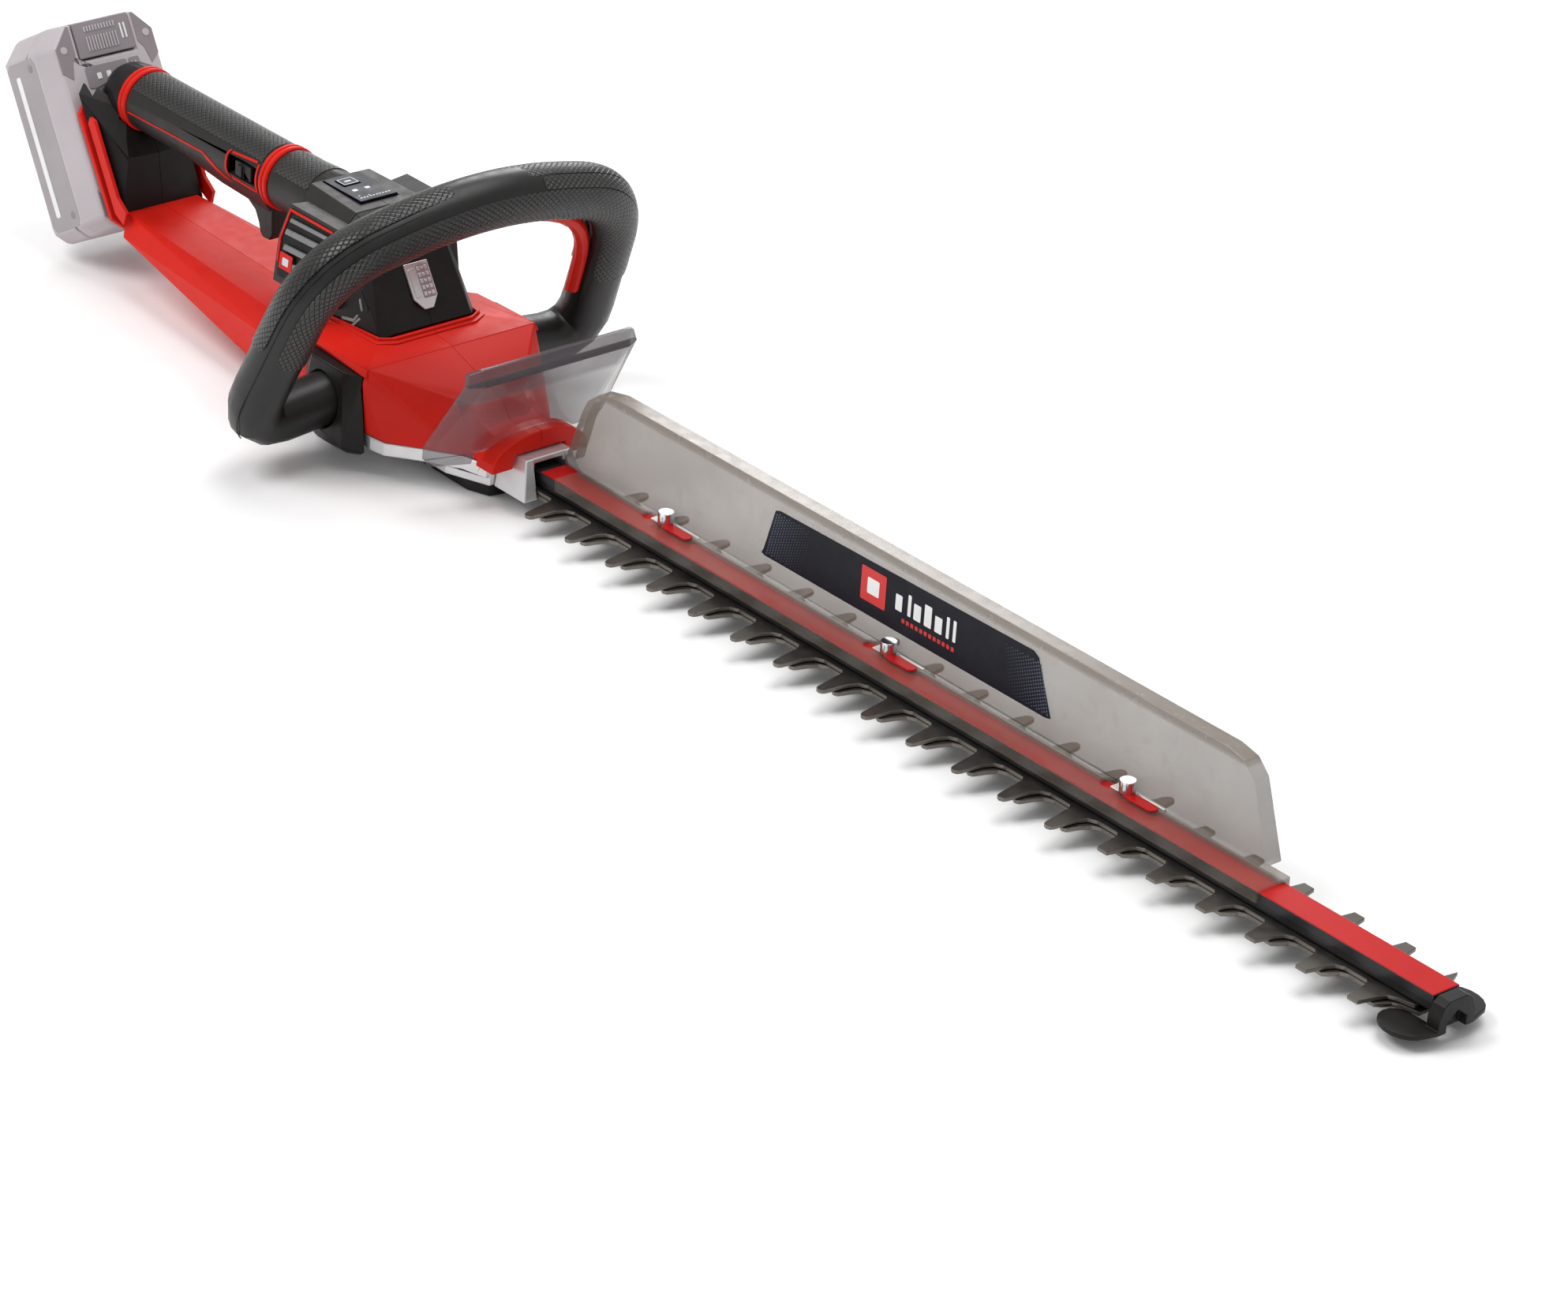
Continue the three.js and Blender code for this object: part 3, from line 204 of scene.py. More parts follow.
def dress(name, material, width=0.6, segments=2, edge_material=None):
    """A finished copy of a CAD node: doubles merged, flat facets joined and sharp edges rounded.

    Each sharp edge is rounded by the width, but by no more than a third of the shortest edge that
    meets either of its ends, so that narrow facets are never crossed. Edges of the mating face on the
    centre plane stay sharp, as on a tight parting line. An edge_material becomes the second material,
    which paint_sides gives to some of the faces.
    """
    source = frame["nodes"][name]
    solid = bmesh.new()
    solid.from_mesh(source.data)
    sharp = math.radians(SHARP_ANGLE)
    bmesh.ops.remove_doubles(solid, verts=solid.verts, dist=2e-6)
    bmesh.ops.dissolve_limit(
        solid, angle_limit=math.radians(0.15), verts=solid.verts, edges=solid.edges
    )
    solid.normal_update()
    reach = {vert: min((e.calc_length() for e in vert.link_edges), default=0) for vert in solid.verts}
    on_seam = {
        face for face in solid.faces
        if abs(face.normal.y) > 0.99 and all(abs(vert.co.y) < 0.8 * MM for vert in face.verts)
    }
    weights = [
        min(1.0, min(reach[v] for v in edge.verts) / 3 / (width * MM))
        if len(edge.link_faces) == 2
        and edge.calc_face_angle() > sharp
        and not on_seam.intersection(edge.link_faces)
        else 0.0
        for edge in solid.edges
    ]
    mesh = bpy.data.meshes.new(name + "_finished")
    solid.to_mesh(mesh)
    solid.free()
    layer = mesh.attributes.new("bevel_weight_edge", "FLOAT", "EDGE")
    layer.data.foreach_set("value", np.array(weights, np.float32))
    mesh.polygons.foreach_set("use_smooth", np.ones(len(mesh.polygons), bool))
    mesh.set_sharp_from_angle(angle=sharp)
    mesh.materials.append(material)
    piece = bpy.data.objects.new(name + "_finished", mesh)
    bpy.context.scene.collection.objects.link(piece)
    if edge_material:
        mesh.materials.append(edge_material)
    rounding = piece.modifiers.new("rounded_edges", "BEVEL")
    rounding.limit_method = "WEIGHT"
    rounding.width = width * MM
    rounding.segments = segments
    rounding.use_clamp_overlap = False
    rounding.harden_normals = True
    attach(piece, source["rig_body"])
    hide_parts(name)
    return piece


red_nylon = finish_material("red_nylon", (0.6, 0.013, 0.006), 0.42, blotch=0.05, dust=0.004, shine=0.16)
dress("main_shell_right", red_nylon, 1.2)
dress("main_shell_left", red_nylon, 1.2)

# ---------------------------------------------------------------- sole, gearcase and blade holder
# The gearcase is a die-cast aluminium box that shows as a pale strip under the shell. A black nylon
# sole is screwed below it, and the cast blade holder stands in front.
cast_aluminium = finish_material(
    "cast_aluminium", (0.72, 0.72, 0.73), 0.42, metallic=0.75, blotch=0.1, grain=900, depth=0.05
)
black_nylon = finish_material(
    "black_nylon", (0.0095, 0.0082, 0.0078), 0.42, blotch=0.16, dust=0.005, shine=0.22
)
dress("sole", black_nylon, 1.0)
dress("gearcase", cast_aluminium, 1.0)
dress("gear_cover", cast_aluminium, 0.5)
dress("blade_holder", cast_aluminium, 0.9)

# ---------------------------------------------------------------- drive gear, cranks and motor
# The brushless motor turns a large spur gear under the cover. Gear, cranks and bearings are bare
# machined steel, the stator and rotor are laminated, and the fan is moulded nylon.
machined_steel = finish_material("machined_steel", (0.5, 0.5, 0.51), 0.3, metallic=1.0, blotch=0.12)
laminated_steel = finish_material("laminated_steel", (0.32, 0.29, 0.27), 0.45, metallic=0.8, blotch=0.2)
INNER = {
    "drive_gear": machined_steel,
    "crank_pair": machined_steel,
    "gear_bearing": machined_steel,
    "pinion": machined_steel,
    "motor_bearing": machined_steel,
    "motor_rotor": laminated_steel,
    "motor_stator": laminated_steel,
    "motor_fan": black_nylon,
    "front_switch": black_nylon,
    "rear_switch": black_nylon,
    "terminal_block": black_nylon,
}
# These inner pieces keep their CAD shape and only get their finish.
for node, material in INNER.items():
    frame["nodes"][node].data.materials.clear()
    frame["nodes"][node].data.materials.append(material)

# ---------------------------------------------------------------- blades
# Two punched blades of dark hardened steel slide on each other. Their faces keep the dark rolled
# skin, and the sides of the teeth are ground bright.


def brushed_steel(name, colour, gloss, stretch, depth):
    """Steel with fine lines: noise stretched along the grinding direction, in Object coordinates."""
    material = finish_material(name, colour, gloss, metallic=1.0, blotch=0.18, dust=0.02)
    tree = material.node_tree
    place = tree.nodes["Texture Coordinate"].outputs["Object"]
    mapping = tree.nodes.new("ShaderNodeMapping")
    mapping.inputs["Scale"].default_value = stretch
    shader_link(tree, place, mapping.inputs["Vector"])
    lines = noise_node(tree, mapping.outputs["Vector"], 1.0, 4.0)
    bump = tree.nodes["Bump"]
    bump.inputs["Strength"].default_value = 0.5
    bump.inputs["Distance"].default_value = depth * MM
    shader_link(tree, lines, bump.inputs["Height"])
    return material


def paint_sides(piece, is_side):
    """Gives the second material to each face whose normal has a z value that is_side says yes to."""
    normals = np.zeros(len(piece.data.polygons) * 3)
    piece.data.polygons.foreach_get("normal", normals)
    sides = is_side(normals.reshape(-1, 3)[:, 2]).astype(np.int32)
    piece.data.polygons.foreach_set("material_index", sides)


blade_face = brushed_steel("blade_face", (0.1, 0.09, 0.08), 0.42, (90, 1400, 900), 0.02)
ground_edge = brushed_steel("ground_edge", (0.2, 0.18, 0.16), 0.46, (900, 900, 4200), 0.02)
for name in ("upper_blade", "lower_blade"):
    blade = dress(name, blade_face, 0.25, segments=1, edge_material=ground_edge)
    paint_sides(blade, lambda rise: np.abs(rise) < 0.5)

# ---------------------------------------------------------------- guide bar, cover and tip guard
# A black anodised channel runs over the blades and takes their bolts. A red painted strip covers its
# top, black on its sides, and a black nylon guard with two round ears closes its end.
black_anodised = finish_material("black_anodised", (0.02, 0.02, 0.021), 0.35, metallic=0.4, blotch=0.2)
red_gloss = finish_material(
    "red_gloss", (0.5, 0.007, 0.007), 0.34, blotch=0.04, depth=0.01, dust=0.0, shine=0.12
)
zinc_plate = finish_material("zinc_plate", (0.62, 0.62, 0.6), 0.34, metallic=1.0, blotch=0.15)
dress("guide_bar", black_anodised, 0.5)
paint_sides(dress("bar_cover", red_gloss, 0.9, edge_material=black_anodised), lambda rise: rise < 0.8)
dress("tip_guard", black_nylon, 0.5)
for number in range(1, 5):
    dress(f"bar_bolt_{number}", zinc_plate, 0.3)

# ---------------------------------------------------------------- motor tower and badge
# The tower is two black nylon shells over the motor, joined on the centre plane. Its sloping front
# carries a thin pressed aluminium badge with a plain raised pattern.
dress("tower_cover_right", black_nylon, 1.0)
dress("tower_cover_left", black_nylon, 1.0)
badge_metal = finish_material("badge_metal", (0.78, 0.76, 0.77), 0.3, metallic=0.9, blotch=0.12)
dress("badge", badge_metal, 0.4)


def rounded_outline(across, upward, width, height, corner):
    """A rectangle with round corners: centre plus half sizes less the corner, plus a quarter circle."""
    turn = (np.arange(24) + 0.5) * (2 * math.pi / 24)
    sign = np.stack([np.sign(np.cos(turn)), np.sign(np.sin(turn))], 1)
    half = np.array([width / 2 - corner, height / 2 - corner])
    bend = corner * np.stack([np.cos(turn), np.sin(turn)], 1)
    return np.array([across, upward]) + sign * half + bend


def raise_plates(name, outlines, along, up, level, thick, material, body):
    """Thin flat plates on one plane: every outline point is across * along + upward * up + level * out.

    The outlines are in millimetres on axes through the tool's origin, out is along x up, and each
    plate is closed by its back, its front and a wall of one quad for each side.
    """
    along, up = np.array(along, float), np.array(up, float)
    out = np.cross(along, up)
    places, faces, start = [], [], 0
    for outline in outlines:
        flat = np.asarray(outline, float)
        turned_area = np.sum(flat[:, 0] * np.roll(flat[:, 1], -1) - flat[:, 1] * np.roll(flat[:, 0], -1))
        flat = flat if turned_area > 0 else flat[::-1]
        count = len(flat)
        base = flat[:, :1] * along + flat[:, 1:] * up + level * out
        places += [base, base + thick * out]
        back = start + np.arange(count)
        front = back + count
        wall = np.stack([back, np.roll(back, -1), np.roll(front, -1), front], 1)
        faces += [back[::-1].tolist(), front.tolist(), *wall.tolist()]
        start += 2 * count
    mesh = bpy.data.meshes.new(name)
    mesh.from_pydata((np.concatenate(places) * MM).tolist(), [], faces)
    mesh.materials.append(material)
    piece = bpy.data.objects.new(name, mesh)
    bpy.context.scene.collection.objects.link(piece)
    softening = piece.modifiers.new("softened_edges", "BEVEL")
    softening.width = min(0.25, thick / 3) * MM
    softening.segments = 1
    softening.limit_method = "ANGLE"
    softening.angle_limit = math.radians(50)
    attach(piece, body)
    return piece


def level_of(node, out):
    """How far a CAD node reaches along a direction, in millimetres from the tool's origin."""
    mesh = frame["nodes"][node].data
    places = np.zeros(len(mesh.vertices) * 3)
    mesh.vertices.foreach_get("co", places)
    return float((places.reshape(-1, 3) @ np.array(out)).max() / MM)


ALONG, ACROSS, UPWARD = (1, 0, 0), (0, 1, 0), (0, 0, 1)
HANDS = ((-1, "right"), (1, "left"))
# Raised plates are let this far into the face that carries them, in millimetres.
PLATE_SINK = 0.1
TOWER_FOOT, TOWER_TOP = (-39, 66.4), (-73, 118)
TOWER_LEAN = math.atan2(TOWER_TOP[1] - TOWER_FOOT[1], TOWER_FOOT[0] - TOWER_TOP[0])
TOWER_UP = (-math.cos(TOWER_LEAN), 0, math.sin(TOWER_LEAN))
TOWER_OUT = (math.sin(TOWER_LEAN), 0, math.cos(TOWER_LEAN))
badge_top = level_of("badge", TOWER_UP)
badge_level = level_of("badge", TOWER_OUT)
badge_shade = finish_material("badge_shade", (0.3, 0.25, 0.27), 0.4, metallic=0.6, blotch=0.12)
raise_plates(
    "badge_field", [rounded_outline(2.9, badge_top - 11.2, 8.4, 18.8, 0.8)], ACROSS, TOWER_UP,
    badge_level - PLATE_SINK, 0.25, badge_shade, "housing",
)
badge_bars = [
    rounded_outline(0.3 + 2.6 * column, badge_top - 4.0 - 3.6 * row, 1.9, 2.3 - 0.7 * (column % 2), 0.3)
    for row in range(5) for column in range(3)
]
badge_bars += [rounded_outline(-4.6, badge_top - 11.4, 3.6, 16.4, 0.6)]
raise_plates(
    "badge_pattern", badge_bars, ACROSS, TOWER_UP, badge_level - PLATE_SINK, 0.6,
    badge_metal, "housing",
)

# ---------------------------------------------------------------- control housing, panel and vents
# Two dark grey nylon shells stand behind the tower, joined on the centre plane. They carry a navy
# panel with its push button on top, the circuit board inside, and a louvred vent on each side.
grey_nylon = finish_material(
    "grey_nylon", (0.018, 0.0155, 0.0145), 0.46, blotch=0.12, dust=0.008, shine=0.3
)
navy_panel = finish_material(
    "navy_panel", (0.003, 0.004, 0.011), 0.42, blotch=0.1, depth=0.01, dust=0.004, shine=0.2
)
board_green = finish_material("board_green", (0.03, 0.2, 0.08), 0.5)
dress("control_housing_right", grey_nylon, 1.0)
dress("control_housing_left", grey_nylon, 1.0)
dress("display_panel", navy_panel, 0.4)
dress("mode_button", navy_panel, 0.4)
dress("vent_right", black_nylon, 0.5)
dress("vent_left", black_nylon, 0.5)
dress("control_board", board_green, 0.2)

# Pale printed marks on the panel: a button outline, two rows of dots and a row of short dashes.
print_white = finish_material("print_white", (0.62, 0.66, 0.72), 0.5, blotch=0.05)
PRINT_SINK, PRINT_THICK = 0.05, 0.12
panel_marks = [rounded_outline(-96.6 + 1.5 * step, -8.6 + 5.6 * step, 0.9, 0.9, 0.3) for step in range(3)]
panel_marks += [rounded_outline(-93.4, -9.5 + 2.1 * step, 1.0, 1.3, 0.3) for step in range(10)]
panel_marks += [rounded_outline(-104.0, -6.0 + 8.4 * step, 2.6, 3.2, 0.7) for step in range(2)]
raise_plates(
    "panel_marks", panel_marks, ALONG, ACROSS, level_of("display_panel", UPWARD) - PRINT_SINK, PRINT_THICK,
    print_white, "housing",
)
button_marks = [
    rounded_outline(-115.5, -7.2, 7.4, 0.5, 0.2), rounded_outline(-115.5, 2.2, 7.4, 0.5, 0.2),
    rounded_outline(-119.1, -2.5, 0.5, 9.4, 0.2), rounded_outline(-111.9, -2.5, 0.5, 9.4, 0.2),
    rounded_outline(-115.5, -2.5, 1.4, 4.2, 0.4),
]
raise_plates(
    "button_marks", button_marks, ALONG, ACROSS, level_of("mode_button", UPWARD) - PRINT_SINK, PRINT_THICK,
    print_white, "mode_button",
)


def turned_about(outlines, side):
    """Outlines on axes that run forward and up, put on axes that run towards -side and up."""
    return [np.asarray(outline, float) * [-side, 1] for outline in outlines]


# Each side vent sits in a leaning cowl with a red line round it, louvre bars and a small plain square. The
# vent openings are a near-black plate of painted shade, and the louvre bars, black vent plastic, are
# painted pale grey as painted highlight.
# Painted highlight: pale grey for louvres of black vent plastic.
louvre_painted_highlight = finish_material("louvre_painted_highlight", (0.17, 0.17, 0.175), 0.3, blotch=0.12)
# Painted shade: a near-black plate for the shade inside vent openings and the tower recess.
vent_painted_shade = finish_material("vent_painted_shade", (0.004, 0.004, 0.004), 0.5, blotch=0.1, dust=0.0, shine=0.2)
COWL_LEAN = 0.122
COWL_FACE = 54.0
COWL_DEPTH = 12.0
cowl_outline = [(-124, 66), (-74, 66), (-74, 113), (-117, 113), (-124, 92)]
vent_shade_outline = [(-121, 70), (-77, 70), (-77, 110.4), (-115.4, 110.4), (-121, 92)]
vent_frame = [
    [(-115.6, 109.2), (-77, 109.2), (-77, 110.6), (-116, 110.6)],
    [(-122, 78), (-120.4, 78), (-120.4, 92), (-114.8, 109.4), (-116.2, 110.4), (-122, 92)],
]
louvres = [[(-117, low - 1.5), (-78, low), (-78, low + 3.4), (-116, low + 1.9)] for low in (79, 88, 97)]
louvres += [[(-114, 103.5), (-78, 104.5), (-78, 106.6), (-113.4, 105.8)]]
vent_layers = (
    ("cowl", [cowl_outline], -COWL_DEPTH, COWL_DEPTH, grey_nylon, "black_plastic"),
    ("field", [vent_shade_outline], 0.0, 0.3, vent_painted_shade, "black_vent"),
    ("frame", vent_frame, 0.1, 1.0, red_nylon, "red_plastic"),
    ("louvres", louvres, 0.2, 1.6, louvre_painted_highlight, "black_vent"),
    ("square", [rounded_outline(-112.5, 80.5, 11.5, 9.5, 0.8)], 1.6, 0.6, red_nylon, "red_plastic"),
    ("mark", [rounded_outline(-112.5, 80.5, 5.4, 4.4, 0.6)], 2.1, 0.25, print_white, "red_plastic"),
)
for side, hand in HANDS:
    cowl_up = (0, -side * COWL_LEAN, math.sqrt(1 - COWL_LEAN**2))
    for part, outlines, offset, thick, material, slot in vent_layers:
        raise_plates(
            f"vent_{part}_{hand}", turned_about(outlines, side), (-side, 0, 0), cowl_up,
            COWL_FACE + offset, thick, material, "housing",
        )

# Low on each side of the tower a recess holds two bent louvre strips. The recess's inside is a near-black
# plate of painted shade, and the strips are painted pale grey as painted highlight.
RECESS_ALONG = np.array([0.9945, 0.1047, 0.0])
RECESS_UP = np.array([-0.0137, 0.1305, 0.9913])
RECESS_FACE = 36.2
bent_strips = [
    [
        (-76, 61.5), (-66.4, 62.8), (-60.8, 71.4), (-63.6, 77.4),
        (-65, 76.6), (-62.6, 71.4), (-67.2, 64.6), (-76, 63.4),
    ],
    [(-79, 58.3), (-67.4, 59.2), (-61.4, 66), (-62.8, 67), (-68, 61), (-79, 60)],
]
recess_shade_outline = [[(-80, 57.6), (-66, 57.8), (-58, 64), (-57, 73), (-64, 82), (-72, 76), (-80, 66)]]
recess_layers = (
    ("field", recess_shade_outline, 0.0, 0.4, vent_painted_shade),
    ("strips", bent_strips, 0.3, 1.0, louvre_painted_highlight),
)
for side, hand in HANDS:
    flip = np.array([1, -side, 1])
    for part, outlines, offset, thick, material in recess_layers:
        raise_plates(
            f"tower_recess_{part}_{hand}", turned_about(outlines, side), -side * RECESS_ALONG * flip,
            RECESS_UP * flip, RECESS_FACE + offset, thick, material, "housing",
        )

# ---------------------------------------------------------------- rear grip
# Two dark nylon shells under a soft overmoulded rubber skin turn between two red rings. The trigger
# is below and the lock slider sits in a recess on the right.
dress("ring_rear", red_nylon, 0.3)
dress("ring_front", red_nylon, 0.3)
dress("grip_right", grey_nylon, 0.8)
dress("grip_left", grey_nylon, 0.8)
dress("trigger", grey_nylon, 1.2, segments=3)
dress("lock_slider", black_nylon, 0.8)


def lay_skin(name, surface, first, second, thick, material, body):
    """A closed skin on part of a surface: outer = point + thick * normal, inner = point - 0.25 * normal.

    first and second are grids of the two surface values, and the UV map "run" holds both of them, in
    millimetres.
    """
    place, normal = surface(first, second)
    rows, columns = first.shape
    outer = (place + thick * normal).reshape(-1, 3)
    inner = (place - 0.25 * normal).reshape(-1, 3)
    index = np.arange(rows * columns).reshape(rows, columns)
    a, b, c, d = index[:-1, :-1], index[1:, :-1], index[1:, 1:], index[:-1, 1:]
    top = np.stack([a, b, c, d], -1).reshape(-1, 4)
    low = top[:, ::-1] + rows * columns
    rim = np.concatenate([index[:, 0], index[-1, 1:], index[-2::-1, -1], index[0, -2:0:-1]])
    ahead = np.roll(rim, -1)
    wall = np.stack([ahead, rim, rim + rows * columns, ahead + rows * columns], 1)
    faces = np.concatenate([top, low, wall])
    middle = place[rows // 2, columns // 2]
    step_one = place[rows // 2 + 1, columns // 2] - middle
    step_two = place[rows // 2, columns // 2 + 1] - middle
    if np.dot(np.cross(step_one, step_two), normal[rows // 2, columns // 2]) < 0:
        faces = faces[:, ::-1]
    mesh = bpy.data.meshes.new(name)
    mesh.from_pydata((np.concatenate([outer, inner]) * MM).tolist(), [], faces.tolist())
    run = np.stack([first.ravel(), second.ravel()], 1)
    run = np.concatenate([run, run])
    layer = mesh.uv_layers.new(name="run")
    loops = np.zeros(len(mesh.loops), np.int32)
    mesh.loops.foreach_get("vertex_index", loops)
    layer.data.foreach_set("uv", run[loops].ravel())
    mesh.polygons.foreach_set("use_smooth", np.ones(len(mesh.polygons), bool))
    mesh.set_sharp_from_angle(angle=math.radians(40))
    mesh.materials.append(material)
    piece = bpy.data.objects.new(name, mesh)
    bpy.context.scene.collection.objects.link(piece)
    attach(piece, body)
    return piece


def scale_material(name, colour, gloss, long, wide):
    """Soft rubber with small overlapping diamond scales, laid out by the skin's own UV in millimetres; its
    colour is darkened into the grooves as painted shade.
    """
    material = finish_material(name, colour, gloss, blotch=0.1, dust=0.0)
    tree = material.node_tree
    run = tree.nodes.new("ShaderNodeUVMap")
    run.uv_map = "run"
    split = tree.nodes.new("ShaderNodeSeparateXYZ")
    shader_link(tree, run.outputs["UV"], split.inputs[0])
    forward = calculate(tree, "DIVIDE", split.outputs["X"], long)
    sideways = calculate(tree, "DIVIDE", split.outputs["Y"], wide)
    rising = calculate(tree, "FRACT", calculate(tree, "ADD", forward, sideways), None)
    falling = calculate(tree, "FRACT", calculate(tree, "SUBTRACT", forward, sideways), None)
    rising_gap = calculate(tree, "ABSOLUTE", calculate(tree, "SUBTRACT", rising, 0.5), None)
    falling_gap = calculate(tree, "ABSOLUTE", calculate(tree, "SUBTRACT", falling, 0.5), None)
    rim = tree.nodes.new("ShaderNodeMapRange")
    rim.interpolation_type = "SMOOTHSTEP"
    rim.inputs["From Min"].default_value = 0.5
    rim.inputs["From Max"].default_value = 0.3
    shader_link(tree, calculate(tree, "MAXIMUM", rising_gap, falling_gap), rim.inputs["Value"])
    slope = calculate(tree, "MULTIPLY", calculate(tree, "ADD", rising, falling), 0.42)
    height = calculate(tree, "MULTIPLY", rim.outputs["Result"], calculate(tree, "ADD", slope, 0.3))
    bump = tree.nodes["Bump"]
    bump.inputs["Strength"].default_value = 1.0
    bump.inputs["Distance"].default_value = 0.55 * MM
    shader_link(tree, height, bump.inputs["Height"])
    # Painted shade: the colour falls to near black in the grooves between the scales.
    groove_shade = tree.nodes.new("ShaderNodeMix")
    groove_shade.data_type = "RGBA"
    groove_shade.inputs["A"].default_value = (0.0015, 0.0014, 0.0014, 1)
    shader_link(tree, rim.outputs["Result"], groove_shade.inputs["Factor"])
    shader_link(tree, tree.nodes["Group"].outputs["Colour"], groove_shade.inputs["B"])
    shader = tree.nodes["Principled BSDF"]
    shader_link(tree, groove_shade.outputs["Result"], shader.inputs["Base Color"])
    return material


scale_rubber = scale_material("scale_rubber", (0.026, 0.0245, 0.0235), 0.32, 4.0, 3.1)
GRIP_AXIS_Z = 105.0
GRIP_RADIUS = 17.9


def round_bar(lengthwise, around, radius):
    """Round bar along X: y = -r sin(a), z = axis + r cos(a), with a = around / GRIP_RADIUS from the top."""
    turn = around / GRIP_RADIUS
    out = np.stack([np.zeros_like(turn), -np.sin(turn), np.cos(turn)], -1)
    axis = np.stack([lengthwise, np.zeros_like(turn), np.full_like(turn, GRIP_AXIS_Z)], -1)
    return axis + radius * out, out


def on_grip(lengthwise, around):
    """The grip has one radius: r = GRIP_RADIUS."""
    return round_bar(lengthwise, around, GRIP_RADIUS)


def grid(rows, columns):
    """Two grids of 0 to 1 values, along and across."""
    return np.meshgrid(np.linspace(0, 1, rows), np.linspace(0, 1, columns), indexing="ij")


def strip_on_grip(name, knots, thick, material):
    """A strip on the grip whose middle and half width run smoothly through (x, turn, half width)."""
    along, over = grid(60, 5)
    knots = np.array(knots, float)
    reach = np.linspace(0, 1, len(knots))
    lengthwise = np.interp(along, reach, knots[:, 0])
    middle = np.interp(along, reach, np.radians(knots[:, 1]) * GRIP_RADIUS)
    half = np.interp(along, reach, knots[:, 2])
    return lay_skin(
        name, on_grip, lengthwise, middle + (2 * over - 1) * half, thick, material, "rear_grip"
    )


def scale_patch(name, surface, counts, reach, sweep, thick, body):
    """Scaled rubber on a round bar: reach is (start, length) along X, sweep is (first turn, span)."""
    along, over = grid(*counts)
    lengthwise = reach[0] + along * reach[1]
    around = np.radians(sweep[0] + over * sweep[1]) * GRIP_RADIUS
    return lay_skin(name, surface, lengthwise, around, thick, scale_rubber, body)


scale_patch(
    "grip_scales", on_grip, (80, 50), (-303.6, 125.6), (-88, 141), 0.35, "rear_grip"
)
grip_inlay = [
    (-303, 97, 0.4), (-262, 94, 0.4), (-230, 93, 0.5), (-222, 106, 1.5), (-214, 122, 2.0), (-205, 134, 0.4)
]
for side, hand in HANDS:
    knots = [(x, -side * turn, half) for x, turn, half in grip_inlay]
    strip_on_grip(f"grip_inlay_{hand}", knots, 0.3, red_nylon)

# A thin red line runs round the recess of the lock slider.
LINE_WIDTH, LINE_THICK = 1.4, 0.4
LINE_HIGH, LINE_LOW = 60.0, 114.0
strip_on_grip("recess_line_high", [(-203.5, 63, 0.7), (-181, 58, 0.7)], LINE_THICK, red_nylon)
strip_on_grip("recess_line_low", [(-202.5, 112, 0.7), (-180, 115, 0.7)], LINE_THICK, red_nylon)
along, over = grid(40, 4)
turn = LINE_HIGH + along * (LINE_LOW - LINE_HIGH)
for name, middle, curl in (("recess_line_rear", -207.6, 2.5), ("recess_line_front", -179.2, 0.0)):
    lengthwise = middle + (over - 0.5) * LINE_WIDTH + curl * (2 * along - 1) ** 4
    lay_skin(
        name, on_grip, lengthwise, np.radians(turn) * GRIP_RADIUS, LINE_THICK, red_nylon, "rear_grip",
    )


def on_neck(lengthwise, around):
    """The neck widens from r = 17.8 mm to r = 19 mm between x = -152 mm and x = -110 mm."""
    radius = np.interp(lengthwise, [-152, -138, -110], [17.8, 18.6, 19.0])[..., None]
    return round_bar(lengthwise, around, radius)


scale_patch(
    "neck_scales", on_neck, (24, 40), (-165.5, 31.0), (-58, 116), 0.4, "housing"
)

# ---------------------------------------------------------------- rear mount and battery
# The black nylon mount ends in a red trim frame. The pale battery is two plastic shells round its
# cells. It slides on the mount's tilted rails and is held by its dark latch.
battery_grey = finish_material("battery_grey", (0.47, 0.43, 0.45), 0.45, blotch=0.05, shine=0.3)
battery_dark = finish_material("battery_dark", (0.25, 0.22, 0.235), 0.45, blotch=0.08, shine=0.3)
cell_wrap = finish_material("cell_wrap", (0.12, 0.2, 0.34), 0.35)
dress("rear_mount_right", black_nylon, 1.0)
dress("rear_mount_left", black_nylon, 1.0)
dress("mount_trim", red_nylon, 0.8)
dress("battery_front_shell", battery_grey, 2.4, segments=4)
dress("battery_back_shell", battery_grey, 2.4, segments=4)
dress("battery_latch", battery_dark, 0.6)
dress("battery_cells", cell_wrap, 0.3)

# On the battery's face: ribs and two bars on the latch, a charge window with three lamps and a button, and
# darker corner guards with their screws. A plain raised strip runs down each side, on a thin side panel in
# a darker copy of the battery grey: painted shade on the sides.
RAIL_TILT = math.radians(30.5)
RAIL_ORIGIN = (-313.4, 0, 69.5)
RAIL_OUT = (math.cos(RAIL_TILT), 0, math.sin(RAIL_TILT))
RAIL_UP = (-math.sin(RAIL_TILT), 0, math.cos(RAIL_TILT))
RAIL_ZERO = float(np.dot(RAIL_UP, RAIL_ORIGIN))
FACE_SETBACK = 5
WINDOW_UP = RAIL_ZERO + 49.5
SIDE_LEVEL, TRIM_LEVEL, TONGUE_LEVEL = 38.7, 39.1, 29.0
